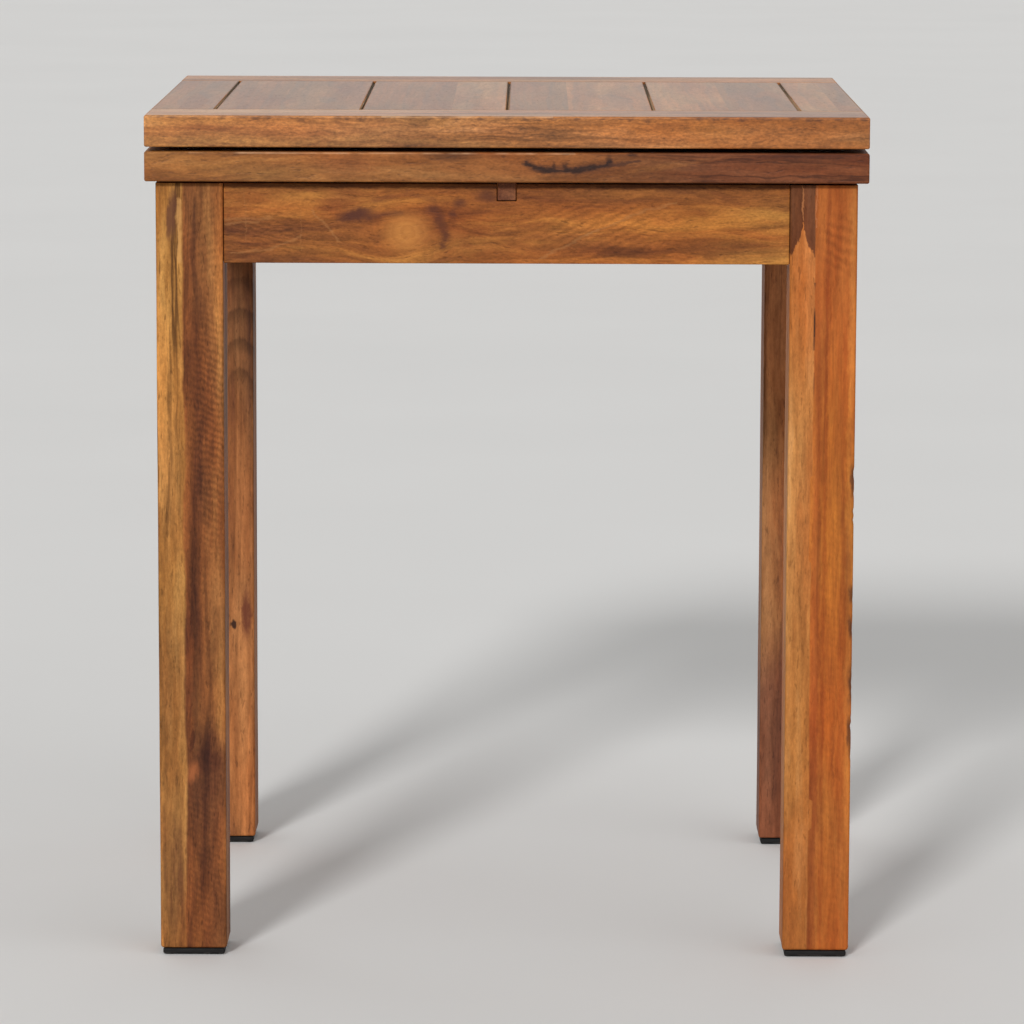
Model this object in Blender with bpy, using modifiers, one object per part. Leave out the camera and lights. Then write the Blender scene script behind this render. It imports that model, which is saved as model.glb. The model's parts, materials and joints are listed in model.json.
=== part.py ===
"""Extending dining table with a folding double top, as separate solids in metres, +Z up.

The origin lies on the floor, in the middle of the table. The front, with the runner's square
end showing in the apron, faces -Y. Two framed leaves of the same plan lie on each other. The
lower leaf slides forward over the base by half the table's depth, led by a runner in notched
rails and held down by clips in grooved aprons. The upper leaf then turns over on two butt
hinges along its rear edge, and both leaves together make a top twice as deep.
"""

import math

import bmesh
import bpy
from mathutils import Matrix, Vector

# Overall sizes
HEIGHT = 0.760
TOP_WIDTH = 0.640
TOP_DEPTH = 0.560
SIDE_OVERHANG = 0.009
END_OVERHANG = 0.011

# Fits: FIT is the gap that neighbouring faces keep, SLIDE_FIT that of a guided slide
FIT = 0.0003
SLIDE_FIT = 0.0008

# Leaves: two rails across the ends, and boards between them from front to back
FLIP_THICK = 0.028
SLIDE_THICK = 0.0265
LEAF_GAP = 0.004
RAIL_DEPTH = 0.080
OUTER_BOARD_WIDTH = 0.058
INNER_BOARD_COUNT = 4
GROOVE_WIDTH = 0.0036
GROOVE_DEPTH = 0.005
TONGUE_THICK = 0.008
TONGUE_REACH = 0.006
END_TONGUE_THICK = 0.010
END_TONGUE_LENGTH = 0.012
END_TONGUE_INSET = 0.016
TOP_EASE = 0.0015

# Base: four legs with pads, four aprons, a bearer and corner braces
LEG_SIZE = 0.060
LEG_EASE = 0.003
FOOT_HEIGHT = 0.006
FOOT_INSET = 0.002
FOOT_EASE = 0.001
APRON_HEIGHT = 0.071
APRON_THICK = 0.020
APRON_SETBACK = 0.003
APRON_EASE = 0.001
TENON_THICK = 0.010
TENON_LENGTH = 0.024
TENON_SHOULDER_TOP = 0.020
TENON_SHOULDER_BOTTOM = 0.010
BEARER_Y = -0.060
BEARER_THICK = 0.020
BEARER_HEIGHT = 0.055
BEARER_RELIEF_WIDTH = 0.034
BEARER_RELIEF_DEPTH = 0.026
STUB_LENGTH = 0.008
STUB_THICK = 0.010
STUB_HEIGHT = 0.018
STUB_RISE = 0.005
BRACE_THICK = 0.022
BRACE_HEIGHT = 0.036
BRACE_RISE = 0.006

# Sliding gear: runner, glide strips and hold-down clips
RUNNER_WIDTH = 0.016
RUNNER_HEIGHT = 0.0165
GLIDE_THICK = 0.0015
GLIDE_WIDTH = 0.014
GLIDE_END_INSET = 0.030
CLIP_WIDTH = 0.018
CLIP_THICK = 0.0016
CLIP_DROP = 0.013
CLIP_FLANGE = 0.020
CLIP_STANDOFF = 0.003
CLIP_TONGUE = 0.007
CLIP_GROOVE_HEIGHT = 0.004
CLIP_GROOVE_DEPTH = 0.009

# Hinges along the rear edge, with their axis in the middle of the gap between the leaves
HINGE_LENGTH = 0.060
HINGE_REACH = 0.025
HINGE_PLATE_THICK = 0.0014
HINGE_AXIS_OUT = 0.0005
HINGE_END_INSET = 0.120
KNUCKLE_RADIUS = 0.0035
KNUCKLE_COUNT = 5
PIN_RADIUS = 0.0015
KNUCKLE_RELIEF = 0.0005

# Bumper pads in the gap between the leaves
BUMPER_RADIUS = 0.005
BUMPER_INSET = 0.040

# Hinge screws and leg bolts
SCREW_HEAD_RADIUS = 0.0028
SCREW_HEAD_HEIGHT = 0.0012
SCREW_RADIUS = 0.0012
SCREW_LENGTH = 0.013
SCREW_PITCH = 0.036
BOLT_RADIUS = 0.004
BOLT_IN_LEG = 0.030
BOLT_FLANGE_RADIUS = 0.009
BOLT_FLANGE_HEIGHT = 0.0015
BOLT_HEAD_RADIUS = 0.0072
BOLT_HEAD_HEIGHT = 0.0055

# Facets of round pieces
SCREW_SIDES = 10
KNUCKLE_SIDES = 20
BOLT_SIDES = 12
BUMPER_SIDES = 20

# Levels and planes that follow from the sizes above
FLIP_BOTTOM = HEIGHT - FLIP_THICK
SLIDE_TOP = FLIP_BOTTOM - LEAF_GAP
SLIDE_BOTTOM = SLIDE_TOP - SLIDE_THICK
BASE_TOP = SLIDE_BOTTOM - GLIDE_THICK - 2 * FIT
APRON_BOTTOM = BASE_TOP - APRON_HEIGHT
RUNNER_TOP = SLIDE_BOTTOM - FIT
RUNNER_BOTTOM = RUNNER_TOP - RUNNER_HEIGHT
NOTCH_BOTTOM = RUNNER_BOTTOM - SLIDE_FIT
HALF_WIDTH = TOP_WIDTH / 2
HALF_DEPTH = TOP_DEPTH / 2
BASE_X = HALF_WIDTH - SIDE_OVERHANG
BASE_Y = HALF_DEPTH - END_OVERHANG
LEG_INNER_X = BASE_X - LEG_SIZE
LEG_INNER_Y = BASE_Y - LEG_SIZE
APRON_OUTER_X = BASE_X - APRON_SETBACK
APRON_OUTER_Y = BASE_Y - APRON_SETBACK
APRON_INNER_X = APRON_OUTER_X - APRON_THICK
APRON_INNER_Y = APRON_OUTER_Y - APRON_THICK
RAIL_INNER_Y = HALF_DEPTH - RAIL_DEPTH
TRAVEL = HALF_DEPTH
HINGE_Y = HALF_DEPTH + HINGE_AXIS_OUT
HINGE_Z = SLIDE_TOP + LEAF_GAP / 2
HINGE_X = HALF_WIDTH - HINGE_END_INSET
HINGE_PLATE_OUTER = KNUCKLE_RADIUS - FIT / 3
HINGE_PLATE_INNER = HINGE_PLATE_OUTER - HINGE_PLATE_THICK
CORNERS = {
    "front_left": (-1, -1),
    "front_right": (1, -1),
    "rear_left": (-1, 1),
    "rear_right": (1, 1),
}
SIDES = {"left": -1, "right": 1}
ENDS = {"front": -1, "rear": 1}


# Scene and small helpers


def clear_scene():
    """Removes every object, so that the model starts from an empty scene."""
    for obj in list(bpy.data.objects):
        bpy.data.objects.remove(obj, do_unlink=True)


def new_collection(name):
    collection = bpy.data.collections.new(name)
    bpy.context.scene.collection.children.link(collection)
    return collection


def new_material(name, colour, roughness, metallic=0.0):
    material = bpy.data.materials.new(name)
    material.use_nodes = True
    shader = material.node_tree.nodes["Principled BSDF"]
    shader.inputs["Base Color"].default_value = (*colour, 1.0)
    shader.inputs["Roughness"].default_value = roughness
    shader.inputs["Metallic"].default_value = metallic
    return material


def new_empty(name, location):
    empty = bpy.data.objects.new(name, None)
    empty.location = location
    PARTS.objects.link(empty)
    return empty


def new_object(name, mesh, centre, collection):
    obj = bpy.data.objects.new(name, mesh)
    obj.location = centre
    collection.objects.link(obj)
    return obj


def as_part(obj, material, body=None):
    """Gives a piece its material and hangs it on the empty of its moving body."""
    obj.data.materials.clear()
    obj.data.materials.append(material)
    if body is not None:
        obj.location -= body.location
        obj.parent = body
    return obj


def box_mesh(name, size):
    shape = bmesh.new()
    bmesh.ops.create_cube(shape, size=1.0)
    bmesh.ops.scale(shape, vec=size, verts=shape.verts)
    mesh = bpy.data.meshes.new(name)
    shape.to_mesh(mesh)
    shape.free()
    return mesh


def box(name, low, high, collection=None):
    """A box between two opposite corners, with its origin at its centre."""
    low, high = Vector(low), Vector(high)
    low, high = Vector(map(min, low, high)), Vector(map(max, low, high))
    return new_object(name, box_mesh(name, high - low), (low + high) / 2, collection or PARTS)


def ease_edges(obj, width, segments=2):
    """Rounds the sharp edges of a piece."""
    modifier = obj.modifiers.new("eased edges", "BEVEL")
    modifier.width = width
    modifier.segments = segments
    modifier.limit_method = "ANGLE"


def apply_boolean(target, tool, operation):
    modifier = target.modifiers.new(tool.name, "BOOLEAN")
    modifier.operation = operation
    modifier.object = tool
    tool.hide_render = True
    tool.display_type = "WIRE"


def cut(target, *tools):
    for tool in tools:
        apply_boolean(target, tool, "DIFFERENCE")


def add(target, *tools):
    for tool in tools:
        apply_boolean(target, tool, "UNION")


def cutting_box(name, low, high):
    return box(name, low, high, CUTTERS)


def evaluated_mesh(obj):
    """The mesh that a curve or a modified object makes, with its caps welded on."""
    graph = bpy.context.evaluated_depsgraph_get()
    mesh = bpy.data.meshes.new_from_object(obj.evaluated_get(graph))
    shape = bmesh.new()
    shape.from_mesh(mesh)
    bmesh.ops.remove_doubles(shape, verts=shape.verts, dist=1e-6)
    bmesh.ops.recalc_face_normals(shape, faces=shape.faces)
    shape.to_mesh(mesh)
    shape.free()
    return mesh


def prism_mesh(name, outline, length):
    """A flat outline in X and Y, extruded by length along Z and centred on that plane."""
    curve = bpy.data.curves.new(name, "CURVE")
    curve.dimensions = "2D"
    curve.fill_mode = "BOTH"
    curve.extrude = length / 2
    spline = curve.splines.new("POLY")
    spline.points.add(len(outline) - 1)
    for point, (x, y) in zip(spline.points, outline):
        point.co = (x, y, 0.0, 1.0)
    spline.use_cyclic_u = True
    guide = new_object(name, curve, (0, 0, 0), CUTTERS)
    mesh = evaluated_mesh(guide)
    bpy.data.objects.remove(guide)
    return mesh


def turned_mesh(name, profile, sides):
    """A profile of (radius, height) points, top to bottom, turned about Z.

    A profile that keeps off the axis is closed to a ring.
    """
    shape = bmesh.new()
    verts = [shape.verts.new((radius, 0.0, height)) for radius, height in profile]
    if profile[0][0] > 0:
        verts.append(verts[0])
    for first, second in zip(verts, verts[1:]):
        shape.edges.new((first, second))
    line = bpy.data.meshes.new(name)
    shape.to_mesh(line)
    shape.free()
    guide = new_object(name, line, (0, 0, 0), CUTTERS)
    turn = guide.modifiers.new("turn", "SCREW")
    turn.steps = sides
    turn.render_steps = sides
    turn.use_merge_vertices = True
    turn.merge_threshold = 1e-5
    mesh = evaluated_mesh(guide)
    bpy.data.objects.remove(guide)
    return mesh


def cylinder_mesh(name, radius, low, high, sides):
    return turned_mesh(name, [(0, high), (radius, high), (radius, low), (0, low)], sides)


def tube_mesh(name, outer, inner, low, high, sides):
    return turned_mesh(name, [(outer, high), (outer, low), (inner, low), (inner, high)], sides)


def along(point, direction):
    """The matrix that carries +Z at the origin to a direction at a point."""
    turn = Vector(direction).to_track_quat("Z", "Y").to_matrix().to_4x4()
    return Matrix.Translation(point) @ turn


def placed(name, mesh, place, collection=None):
    """An object of a mesh, put where a matrix says."""
    obj = new_object(name, mesh, place.translation, collection or PARTS)
    obj.rotation_euler = place.to_euler()
    return obj


def shade_round(obj):
    obj.data.shade_smooth()
    obj.data.set_sharp_from_angle(angle=math.radians(40))
    return obj


# Base


def make_legs():
    legs = {}
    for name, (sx, sy) in CORNERS.items():
        leg = box(
            f"{name}_leg",
            (sx * LEG_INNER_X, sy * LEG_INNER_Y, FOOT_HEIGHT + FIT),
            (sx * BASE_X, sy * BASE_Y, BASE_TOP),
        )
        ease_edges(leg, LEG_EASE)
        legs[name] = as_part(leg, FRAME_WOOD)
    return legs


def make_feet():
    """Black pads under the legs, a little smaller than the legs themselves."""
    for name, (sx, sy) in CORNERS.items():
        foot = box(
            f"{name}_foot",
            (sx * (LEG_INNER_X + FOOT_INSET), sy * (LEG_INNER_Y + FOOT_INSET), 0.0),
            (sx * (BASE_X - FOOT_INSET), sy * (BASE_Y - FOOT_INSET), FOOT_HEIGHT),
        )
        ease_edges(foot, FOOT_EASE, segments=1)
        as_part(foot, BLACK_PAD)


def tenon_boxes(name, across_x, end, side, grow=0.0):
    """The tenon of an apron at one end, or with grow its mortise.

    across_x is True for the front and rear aprons, whose tenons point along X.
    """
    low_z = APRON_BOTTOM + TENON_SHOULDER_BOTTOM - grow
    high_z = BASE_TOP - TENON_SHOULDER_TOP + grow
    inner = (LEG_INNER_X if across_x else LEG_INNER_Y) - TENON_THICK
    tip = inner + TENON_THICK + TENON_LENGTH + grow
    middle = (APRON_OUTER_Y if across_x else APRON_OUTER_X) - APRON_THICK / 2
    half = TENON_THICK / 2 + grow
    low = [end * inner, side * middle - half, low_z]
    high = [end * tip, side * middle + half, high_z]
    if not across_x:
        low[0], low[1] = low[1], low[0]
        high[0], high[1] = high[1], high[0]
    return cutting_box(name, low, high)


def runner_notch(name, y):
    """The open notch in a rail's top edge that the runner passes through."""
    half = RUNNER_WIDTH / 2 + SLIDE_FIT
    reach = APRON_THICK
    return cutting_box(name, (-half, y - reach, NOTCH_BOTTOM), (half, y + reach, BASE_TOP + reach))


def make_end_aprons(legs):
    """Front and rear aprons: tenoned into the legs and notched for the runner."""
    for name, sy in ENDS.items():
        apron = box(
            f"{name}_apron",
            (-LEG_INNER_X + FIT, sy * APRON_INNER_Y, APRON_BOTTOM),
            (LEG_INNER_X - FIT, sy * APRON_OUTER_Y, BASE_TOP),
        )
        ease_edges(apron, APRON_EASE, segments=1)
        for side, sx in SIDES.items():
            add(apron, tenon_boxes(f"{name} apron {side} tenon", True, sx, sy))
            mortise = tenon_boxes(f"{name} apron {side} mortise", True, sx, sy, grow=FIT)
            cut(legs[f"{name}_{side}"], mortise)
        cut(apron, runner_notch(f"{name} apron notch", sy * (APRON_INNER_Y + APRON_THICK / 2)))
        as_part(apron, FRAME_WOOD)


def clip_groove_middle():
    """The height of the clips' tongues, and of the groove that they run in."""
    return SLIDE_BOTTOM - FIT - CLIP_DROP + CLIP_THICK / 2


def bearer_stub(name, sx, grow=0.0):
    """The bearer's stub tenon at one end, or with grow its socket in a side apron."""
    half = STUB_THICK / 2 + grow
    low_z = BASE_TOP - BEARER_HEIGHT + STUB_RISE - grow
    high_z = low_z + STUB_HEIGHT + 2 * grow
    root = APRON_INNER_X - STUB_THICK
    tip = APRON_INNER_X + STUB_LENGTH + grow
    low = (sx * root, BEARER_Y - half, low_z)
    high = (sx * tip, BEARER_Y + half, high_z)
    return cutting_box(name, low, high)


def make_side_aprons(legs):
    """Left and right aprons: tenoned into the legs, with a groove inside for the clips."""
    groove_middle = clip_groove_middle()
    for name, sx in SIDES.items():
        apron = box(
            f"{name}_apron",
            (sx * APRON_INNER_X, -LEG_INNER_Y + FIT, APRON_BOTTOM),
            (sx * APRON_OUTER_X, LEG_INNER_Y - FIT, BASE_TOP),
        )
        ease_edges(apron, APRON_EASE, segments=1)
        for end, sy in ENDS.items():
            add(apron, tenon_boxes(f"{name} apron {end} tenon", False, sy, sx))
            mortise = tenon_boxes(f"{name} apron {end} mortise", False, sy, sx, grow=FIT)
            cut(legs[f"{end}_{name}"], mortise)
        groove = cutting_box(
            f"{name} apron clip groove",
            (sx * (APRON_INNER_X - APRON_THICK), -HALF_DEPTH, groove_middle - CLIP_GROOVE_HEIGHT / 2),
            (sx * (APRON_INNER_X + CLIP_GROOVE_DEPTH), HALF_DEPTH, groove_middle + CLIP_GROOVE_HEIGHT / 2),
        )
        cut(apron, groove, bearer_stub(f"{name} bearer socket", sx, grow=FIT))
        as_part(apron, FRAME_WOOD)


def make_bearer():
    """Cross rail under the top that steadies the runner, lowered at its ends for the clips."""
    reach = APRON_INNER_X - FIT
    half = BEARER_THICK / 2
    bearer = box(
        "centre_bearer",
        (-reach, BEARER_Y - half, BASE_TOP - BEARER_HEIGHT),
        (reach, BEARER_Y + half, BASE_TOP),
    )
    for name, sx in SIDES.items():
        relief = cutting_box(
            f"bearer {name} relief",
            (sx * (reach - BEARER_RELIEF_WIDTH), BEARER_Y - BEARER_THICK, BASE_TOP - BEARER_RELIEF_DEPTH),
            (sx * (reach + BEARER_THICK), BEARER_Y + BEARER_THICK, BASE_TOP + BEARER_THICK),
        )
        cut(bearer, relief)
        add(bearer, bearer_stub(f"bearer {name} stub", sx))
    cut(bearer, runner_notch("bearer notch", BEARER_Y))
    as_part(bearer, FRAME_WOOD)


def brace_sums():
    """Where a brace's two long faces lie, as the sum of the distances to both aprons."""
    leg_reach = LEG_SIZE - APRON_SETBACK - APRON_THICK
    near = 2 * leg_reach + FIT * math.sqrt(2)
    return near, near + BRACE_THICK * math.sqrt(2)


def corner_point(sx, sy, u, v, z):
    """A point at distance u from the side apron and v from the end apron, in one corner."""
    return Vector((sx * (APRON_INNER_X - u), sy * (APRON_INNER_Y - v), z))


def bolt_mesh(shank_end):
    """A flanged hexagon bolt along Z, with the underside of its flange at shank_end."""
    flange_top = shank_end + BOLT_FLANGE_HEIGHT
    profile = [
        (0, flange_top),
        (BOLT_FLANGE_RADIUS * 0.9, flange_top),
        (BOLT_FLANGE_RADIUS, shank_end),
        (BOLT_RADIUS, shank_end),
        (BOLT_RADIUS, -BOLT_IN_LEG),
        (0, -BOLT_IN_LEG),
    ]
    shank = new_object("bolt shank", turned_mesh("bolt shank", profile, BOLT_SIDES), (0, 0, 0), CUTTERS)
    head_bottom = shank_end + BOLT_FLANGE_HEIGHT / 2
    head = cylinder_mesh("bolt head", BOLT_HEAD_RADIUS, head_bottom, flange_top + BOLT_HEAD_HEIGHT, 6)
    head_tool = new_object("bolt head", head, (0, 0, 0), CUTTERS)
    add(shank, head_tool)
    mesh = evaluated_mesh(shank)
    bpy.data.objects.remove(shank)
    bpy.data.objects.remove(head_tool)
    return mesh


def make_braces(legs):
    """Diagonal braces in the corners, each drawn to its leg by a bolt."""
    near, far = brace_sums()
    mid_z = APRON_BOTTOM + BRACE_RISE + BRACE_HEIGHT / 2
    leg_reach = LEG_SIZE - APRON_SETBACK - APRON_THICK
    seat = FIT + BRACE_THICK + FIT
    bolt = bolt_mesh(seat)
    bolt_hole = cylinder_mesh("bolt hole", BOLT_RADIUS + FIT, -BOLT_IN_LEG - FIT, 2 * seat, BOLT_SIDES)
    for name, (sx, sy) in CORNERS.items():
        outline = [
            corner_point(sx, sy, u, v, 0).to_2d()
            for u, v in ((FIT, near - FIT), (FIT, far - FIT), (far - FIT, FIT), (near - FIT, FIT))
        ]
        brace = new_object(
            f"{name}_brace",
            prism_mesh(f"{name} brace", outline, BRACE_HEIGHT),
            (0, 0, mid_z),
            PARTS,
        )
        inward = Vector((-sx, -sy, 0)).normalized()
        place = along(corner_point(sx, sy, leg_reach, leg_reach, mid_z), inward)
        hole = placed(f"{name} bolt hole", bolt_hole, place, CUTTERS)
        cut(brace, hole)
        cut(legs[name], hole)
        as_part(brace, FRAME_WOOD)
        as_part(shade_round(placed(f"{name}_leg_bolt", bolt, place)), STEEL)


# Leaves


def board_bounds():
    """The X positions where the boards of a leaf meet, from left to right."""
    inner_width = (TOP_WIDTH - 2 * OUTER_BOARD_WIDTH) / INNER_BOARD_COUNT
    first = -HALF_WIDTH + OUTER_BOARD_WIDTH
    joints = [first + i * inner_width for i in range(INNER_BOARD_COUNT + 1)]
    return [-HALF_WIDTH, *joints, HALF_WIDTH]


def board_outline(left, right, thick, first, last):
    """A board's section in X and Z: eased outside, rebated at a joint, tongue right, groove left."""
    half = thick / 2
    shoulder = half - GROOVE_DEPTH
    tongue = TONGUE_THICK / 2
    slot = tongue + FIT
    rebate = GROOVE_WIDTH / 2
    touch = FIT / 2
    if last:
        right_side = [(right - TOP_EASE, half), (right, half - TOP_EASE)]
        right_side += [(x, -z) for x, z in reversed(right_side)]
    else:
        right_side = [
            (right - rebate, half),
            (right - rebate, shoulder),
            (right - touch, shoulder),
            (right - touch, tongue),
            (right + TONGUE_REACH, tongue),
        ]
        right_side += [(x, -z) for x, z in reversed(right_side)]
    if first:
        left_side = [(left + TOP_EASE, -half), (left, -half + TOP_EASE)]
        left_side += [(x, -z) for x, z in reversed(left_side)]
    else:
        left_side = [
            (left + rebate, -half),
            (left + rebate, -shoulder),
            (left + touch, -shoulder),
            (left + touch, -slot),
            (left + TONGUE_REACH + FIT, -slot),
        ]
        left_side += [(x, -z) for x, z in reversed(left_side)]
    return right_side + left_side


def make_boards(leaf, bottom, thick, body):
    """The boards of one leaf, tongued to each other and, at both ends, into the rails."""
    bounds = board_bounds()
    middle = bottom + thick / 2
    tip = RAIL_INNER_Y + END_TONGUE_LENGTH
    tongue = END_TONGUE_THICK / 2
    stand_up = Matrix.Rotation(math.radians(90), 4, "X")
    for index, (left, right) in enumerate(zip(bounds, bounds[1:])):
        first, last = index == 0, index == len(bounds) - 2
        name = f"{leaf}_board_{index + 1}"
        mesh = prism_mesh(name, board_outline(left, right, thick, first, last), 2 * tip)
        mesh.transform(stand_up)
        board = new_object(name, mesh, (0, 0, middle), PARTS)
        for end, sy in ENDS.items():
            shoulder = RAIL_INNER_Y - FIT
            for face, sz in (("top", 1), ("bottom", -1)):
                trim = cutting_box(
                    f"{name} {end} {face} trim",
                    (-TOP_WIDTH, sy * shoulder, middle + sz * tongue),
                    (TOP_WIDTH, sy * HALF_DEPTH, middle + sz * thick),
                )
                cut(board, trim)
            for at_edge, x in ((first, -HALF_WIDTH), (last, HALF_WIDTH)):
                if at_edge:
                    inset = END_TONGUE_INSET + FIT
                    haunch = cutting_box(
                        f"{name} {end} haunch",
                        (x - inset, sy * shoulder, middle - thick),
                        (x + inset, sy * HALF_DEPTH, middle + thick),
                    )
                    cut(board, haunch)
        as_part(board, TOP_WOOD, body)


def make_rails(leaf, bottom, thick, body):
    """The rails across both ends of one leaf, grooved for the ends of the boards."""
    rails = {}
    middle = bottom + thick / 2
    slot = END_TONGUE_THICK / 2 + FIT
    reach = HALF_WIDTH - END_TONGUE_INSET
    for end, sy in ENDS.items():
        rail = box(
            f"{leaf}_{end}_rail",
            (-HALF_WIDTH, sy * RAIL_INNER_Y, bottom),
            (HALF_WIDTH, sy * HALF_DEPTH, bottom + thick),
        )
        ease_edges(rail, TOP_EASE)
        groove = cutting_box(
            f"{leaf} {end} rail groove",
            (-reach, sy * (RAIL_INNER_Y - RAIL_DEPTH), middle - slot),
            (reach, sy * (RAIL_INNER_Y + END_TONGUE_LENGTH + FIT), middle + slot),
        )
        cut(rail, groove)
        rails[end] = as_part(rail, TOP_WOOD, body)
    return rails


# Sliding gear


def make_runner(body):
    """Square batten under the sliding leaf, flush with the outer faces of both end aprons."""
    half = RUNNER_WIDTH / 2
    runner = box(
        "runner",
        (-half, -APRON_OUTER_Y, RUNNER_BOTTOM),
        (half, APRON_OUTER_Y, RUNNER_TOP),
    )
    as_part(runner, FRAME_WOOD, body)


def make_glides(body):
    """Felt strips under the sliding leaf that run along the tops of the side aprons."""
    middle = APRON_INNER_X + APRON_THICK / 2
    reach = HALF_DEPTH - GLIDE_END_INSET
    top = SLIDE_BOTTOM - FIT
    for name, sx in SIDES.items():
        strip = box(
            f"{name}_glide_strip",
            (sx * (middle - GLIDE_WIDTH / 2), -reach, top - GLIDE_THICK),
            (sx * (middle + GLIDE_WIDTH / 2), reach, top),
        )
        as_part(strip, FELT, body)


def clip_outline(sx):
    """A hold-down clip's section in X and Z: flange under the leaf, web, tongue in the groove."""
    top = SLIDE_BOTTOM - FIT
    web = APRON_INNER_X - CLIP_STANDOFF
    tip = APRON_INNER_X + CLIP_TONGUE
    tail = web - CLIP_FLANGE
    foot = top - CLIP_DROP
    points = [
        (tail, top),
        (web, top),
        (web, foot + CLIP_THICK),
        (tip, foot + CLIP_THICK),
        (tip, foot),
        (web - CLIP_THICK, foot),
        (web - CLIP_THICK, top - CLIP_THICK),
        (tail, top - CLIP_THICK),
    ]
    return [(sx * x, z) for x, z in points]


def clip_positions():
    """Where the clips sit: the rear pair stops on the rear legs, the front pair on the front legs."""
    stop = LEG_INNER_Y - FIT - CLIP_WIDTH / 2
    return {"rear": stop, "front": TRAVEL - stop}


def make_clips(body):
    """Hold-down clips under the outer boards, with their tongues in the side aprons."""
    stand_up = Matrix.Rotation(math.radians(90), 4, "X")
    for side, sx in SIDES.items():
        for end, y in clip_positions().items():
            name = f"{end}_{side}_clip"
            mesh = prism_mesh(name, clip_outline(sx), CLIP_WIDTH)
            mesh.transform(stand_up)
            as_part(new_object(name, mesh, (0, y, 0), PARTS), STEEL, body)


def make_bumpers(body):
    """Felt dots near the front corners that keep the folded leaves apart."""
    low, high = SLIDE_TOP + FIT, FLIP_BOTTOM - FIT
    mesh = cylinder_mesh("bumper", BUMPER_RADIUS, low, high, BUMPER_SIDES)
    for name, sx in SIDES.items():
        place = (sx * (HALF_WIDTH - BUMPER_INSET), -HALF_DEPTH + BUMPER_INSET, 0)
        as_part(shade_round(new_object(f"{name}_bumper", mesh, place, PARTS)), FELT, body)


# Hinges


def knuckle_spans(turning):
    """The X spans of one plate's knuckles about the hinge's middle: the fixed plate has the ends."""
    pitch = HINGE_LENGTH / KNUCKLE_COUNT
    starts = range(1 if turning else 0, KNUCKLE_COUNT, 2)
    return [(-HINGE_LENGTH / 2 + i * pitch, -HINGE_LENGTH / 2 + (i + 1) * pitch) for i in starts]


def hinge_axis(x):
    return along((x, HINGE_Y, HINGE_Z), (1, 0, 0))


def screw_places(x, sz):
    """Two screws a plate, whose heads face the gap between the leaves."""
    level = HINGE_Z + sz * HINGE_PLATE_INNER
    y = HINGE_Y - (HINGE_REACH + KNUCKLE_RADIUS) / 2
    half = SCREW_PITCH / 2
    return [along((x + dx, y, level), (0, 0, -sz)) for dx in (-half, half)]


def screw_mesh():
    """A countersunk screw down -Z, with the top of its head at the origin."""
    profile = [
        (0, 0),
        (SCREW_HEAD_RADIUS, 0),
        (SCREW_RADIUS, -SCREW_HEAD_HEIGHT),
        (SCREW_RADIUS, -SCREW_LENGTH),
        (0, -SCREW_LENGTH - SCREW_RADIUS),
    ]
    return turned_mesh("hinge screw", profile, SCREW_SIDES)


def screw_hole_mesh():
    """The cutter for a countersunk screw, with room all round."""
    wide, narrow = SCREW_HEAD_RADIUS + FIT, SCREW_RADIUS + FIT
    bottom = -SCREW_LENGTH - SCREW_RADIUS - 2 * FIT
    profile = [
        (0, SCREW_HEAD_HEIGHT),
        (wide, SCREW_HEAD_HEIGHT),
        (wide, -FIT),
        (narrow, -SCREW_HEAD_HEIGHT - FIT),
        (narrow, bottom),
        (0, bottom),
    ]
    return turned_mesh("hinge screw hole", profile, SCREW_SIDES)


def make_hinge_plate(name, x, sz, rail, body):
    """One brass plate of a butt hinge with its knuckles, let into its rail, and its screws.

    sz is -1 for the plate on the sliding leaf and 1 for the one on the folding leaf.
    """
    turning = sz > 0
    half = HINGE_LENGTH / 2
    pitch = HINGE_LENGTH / KNUCKLE_COUNT
    gap = KNUCKLE_RADIUS + 2 * FIT
    plate = box(
        f"{name}_plate",
        (x - half, HINGE_Y - HINGE_REACH, HINGE_Z + sz * HINGE_PLATE_INNER),
        (x + half, HINGE_Y, HINGE_Z + sz * HINGE_PLATE_OUTER),
    )
    for index, (low, high) in enumerate(knuckle_spans(not turning)):
        slot = cutting_box(
            f"{name} slot {index}",
            (x + low - FIT / 2, HINGE_Y - gap, HINGE_Z - gap),
            (x + high + FIT / 2, HINGE_Y + gap, HINGE_Z + gap),
        )
        cut(plate, slot)
    reach = pitch / 2 - FIT
    bore = PIN_RADIUS + FIT
    barrel = tube_mesh(f"{name} knuckle", KNUCKLE_RADIUS, bore, -reach, reach, KNUCKLE_SIDES)
    for index, (low, high) in enumerate(knuckle_spans(turning)):
        place = hinge_axis(x + (low + high) / 2)
        add(plate, placed(f"{name} knuckle {index}", barrel, place, CUTTERS))
    mortise = cutting_box(
        f"{name} mortise",
        (x - half - FIT, HINGE_Y - HINGE_REACH - FIT, HINGE_Z),
        (x + half + FIT, HINGE_Y + HINGE_REACH, HINGE_Z + sz * (HINGE_PLATE_OUTER + FIT)),
    )
    relief = KNUCKLE_RADIUS + KNUCKLE_RELIEF
    barrel_room = cutting_box(
        f"{name} barrel room",
        (x - half - FIT, HINGE_Y - relief - FIT, HINGE_Z),
        (x + half + FIT, HINGE_Y + HINGE_REACH, HINGE_Z + sz * relief),
    )
    cut(rail, mortise, barrel_room)
    screw, hole = screw_mesh(), screw_hole_mesh()
    for index, place in enumerate(screw_places(x, sz), start=1):
        tool = placed(f"{name} screw hole {index}", hole, place, CUTTERS)
        cut(plate, tool)
        cut(rail, tool)
        as_part(shade_round(placed(f"{name}_screw_{index}", screw, place)), BRASS, body)
    as_part(plate, BRASS, body)


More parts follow.
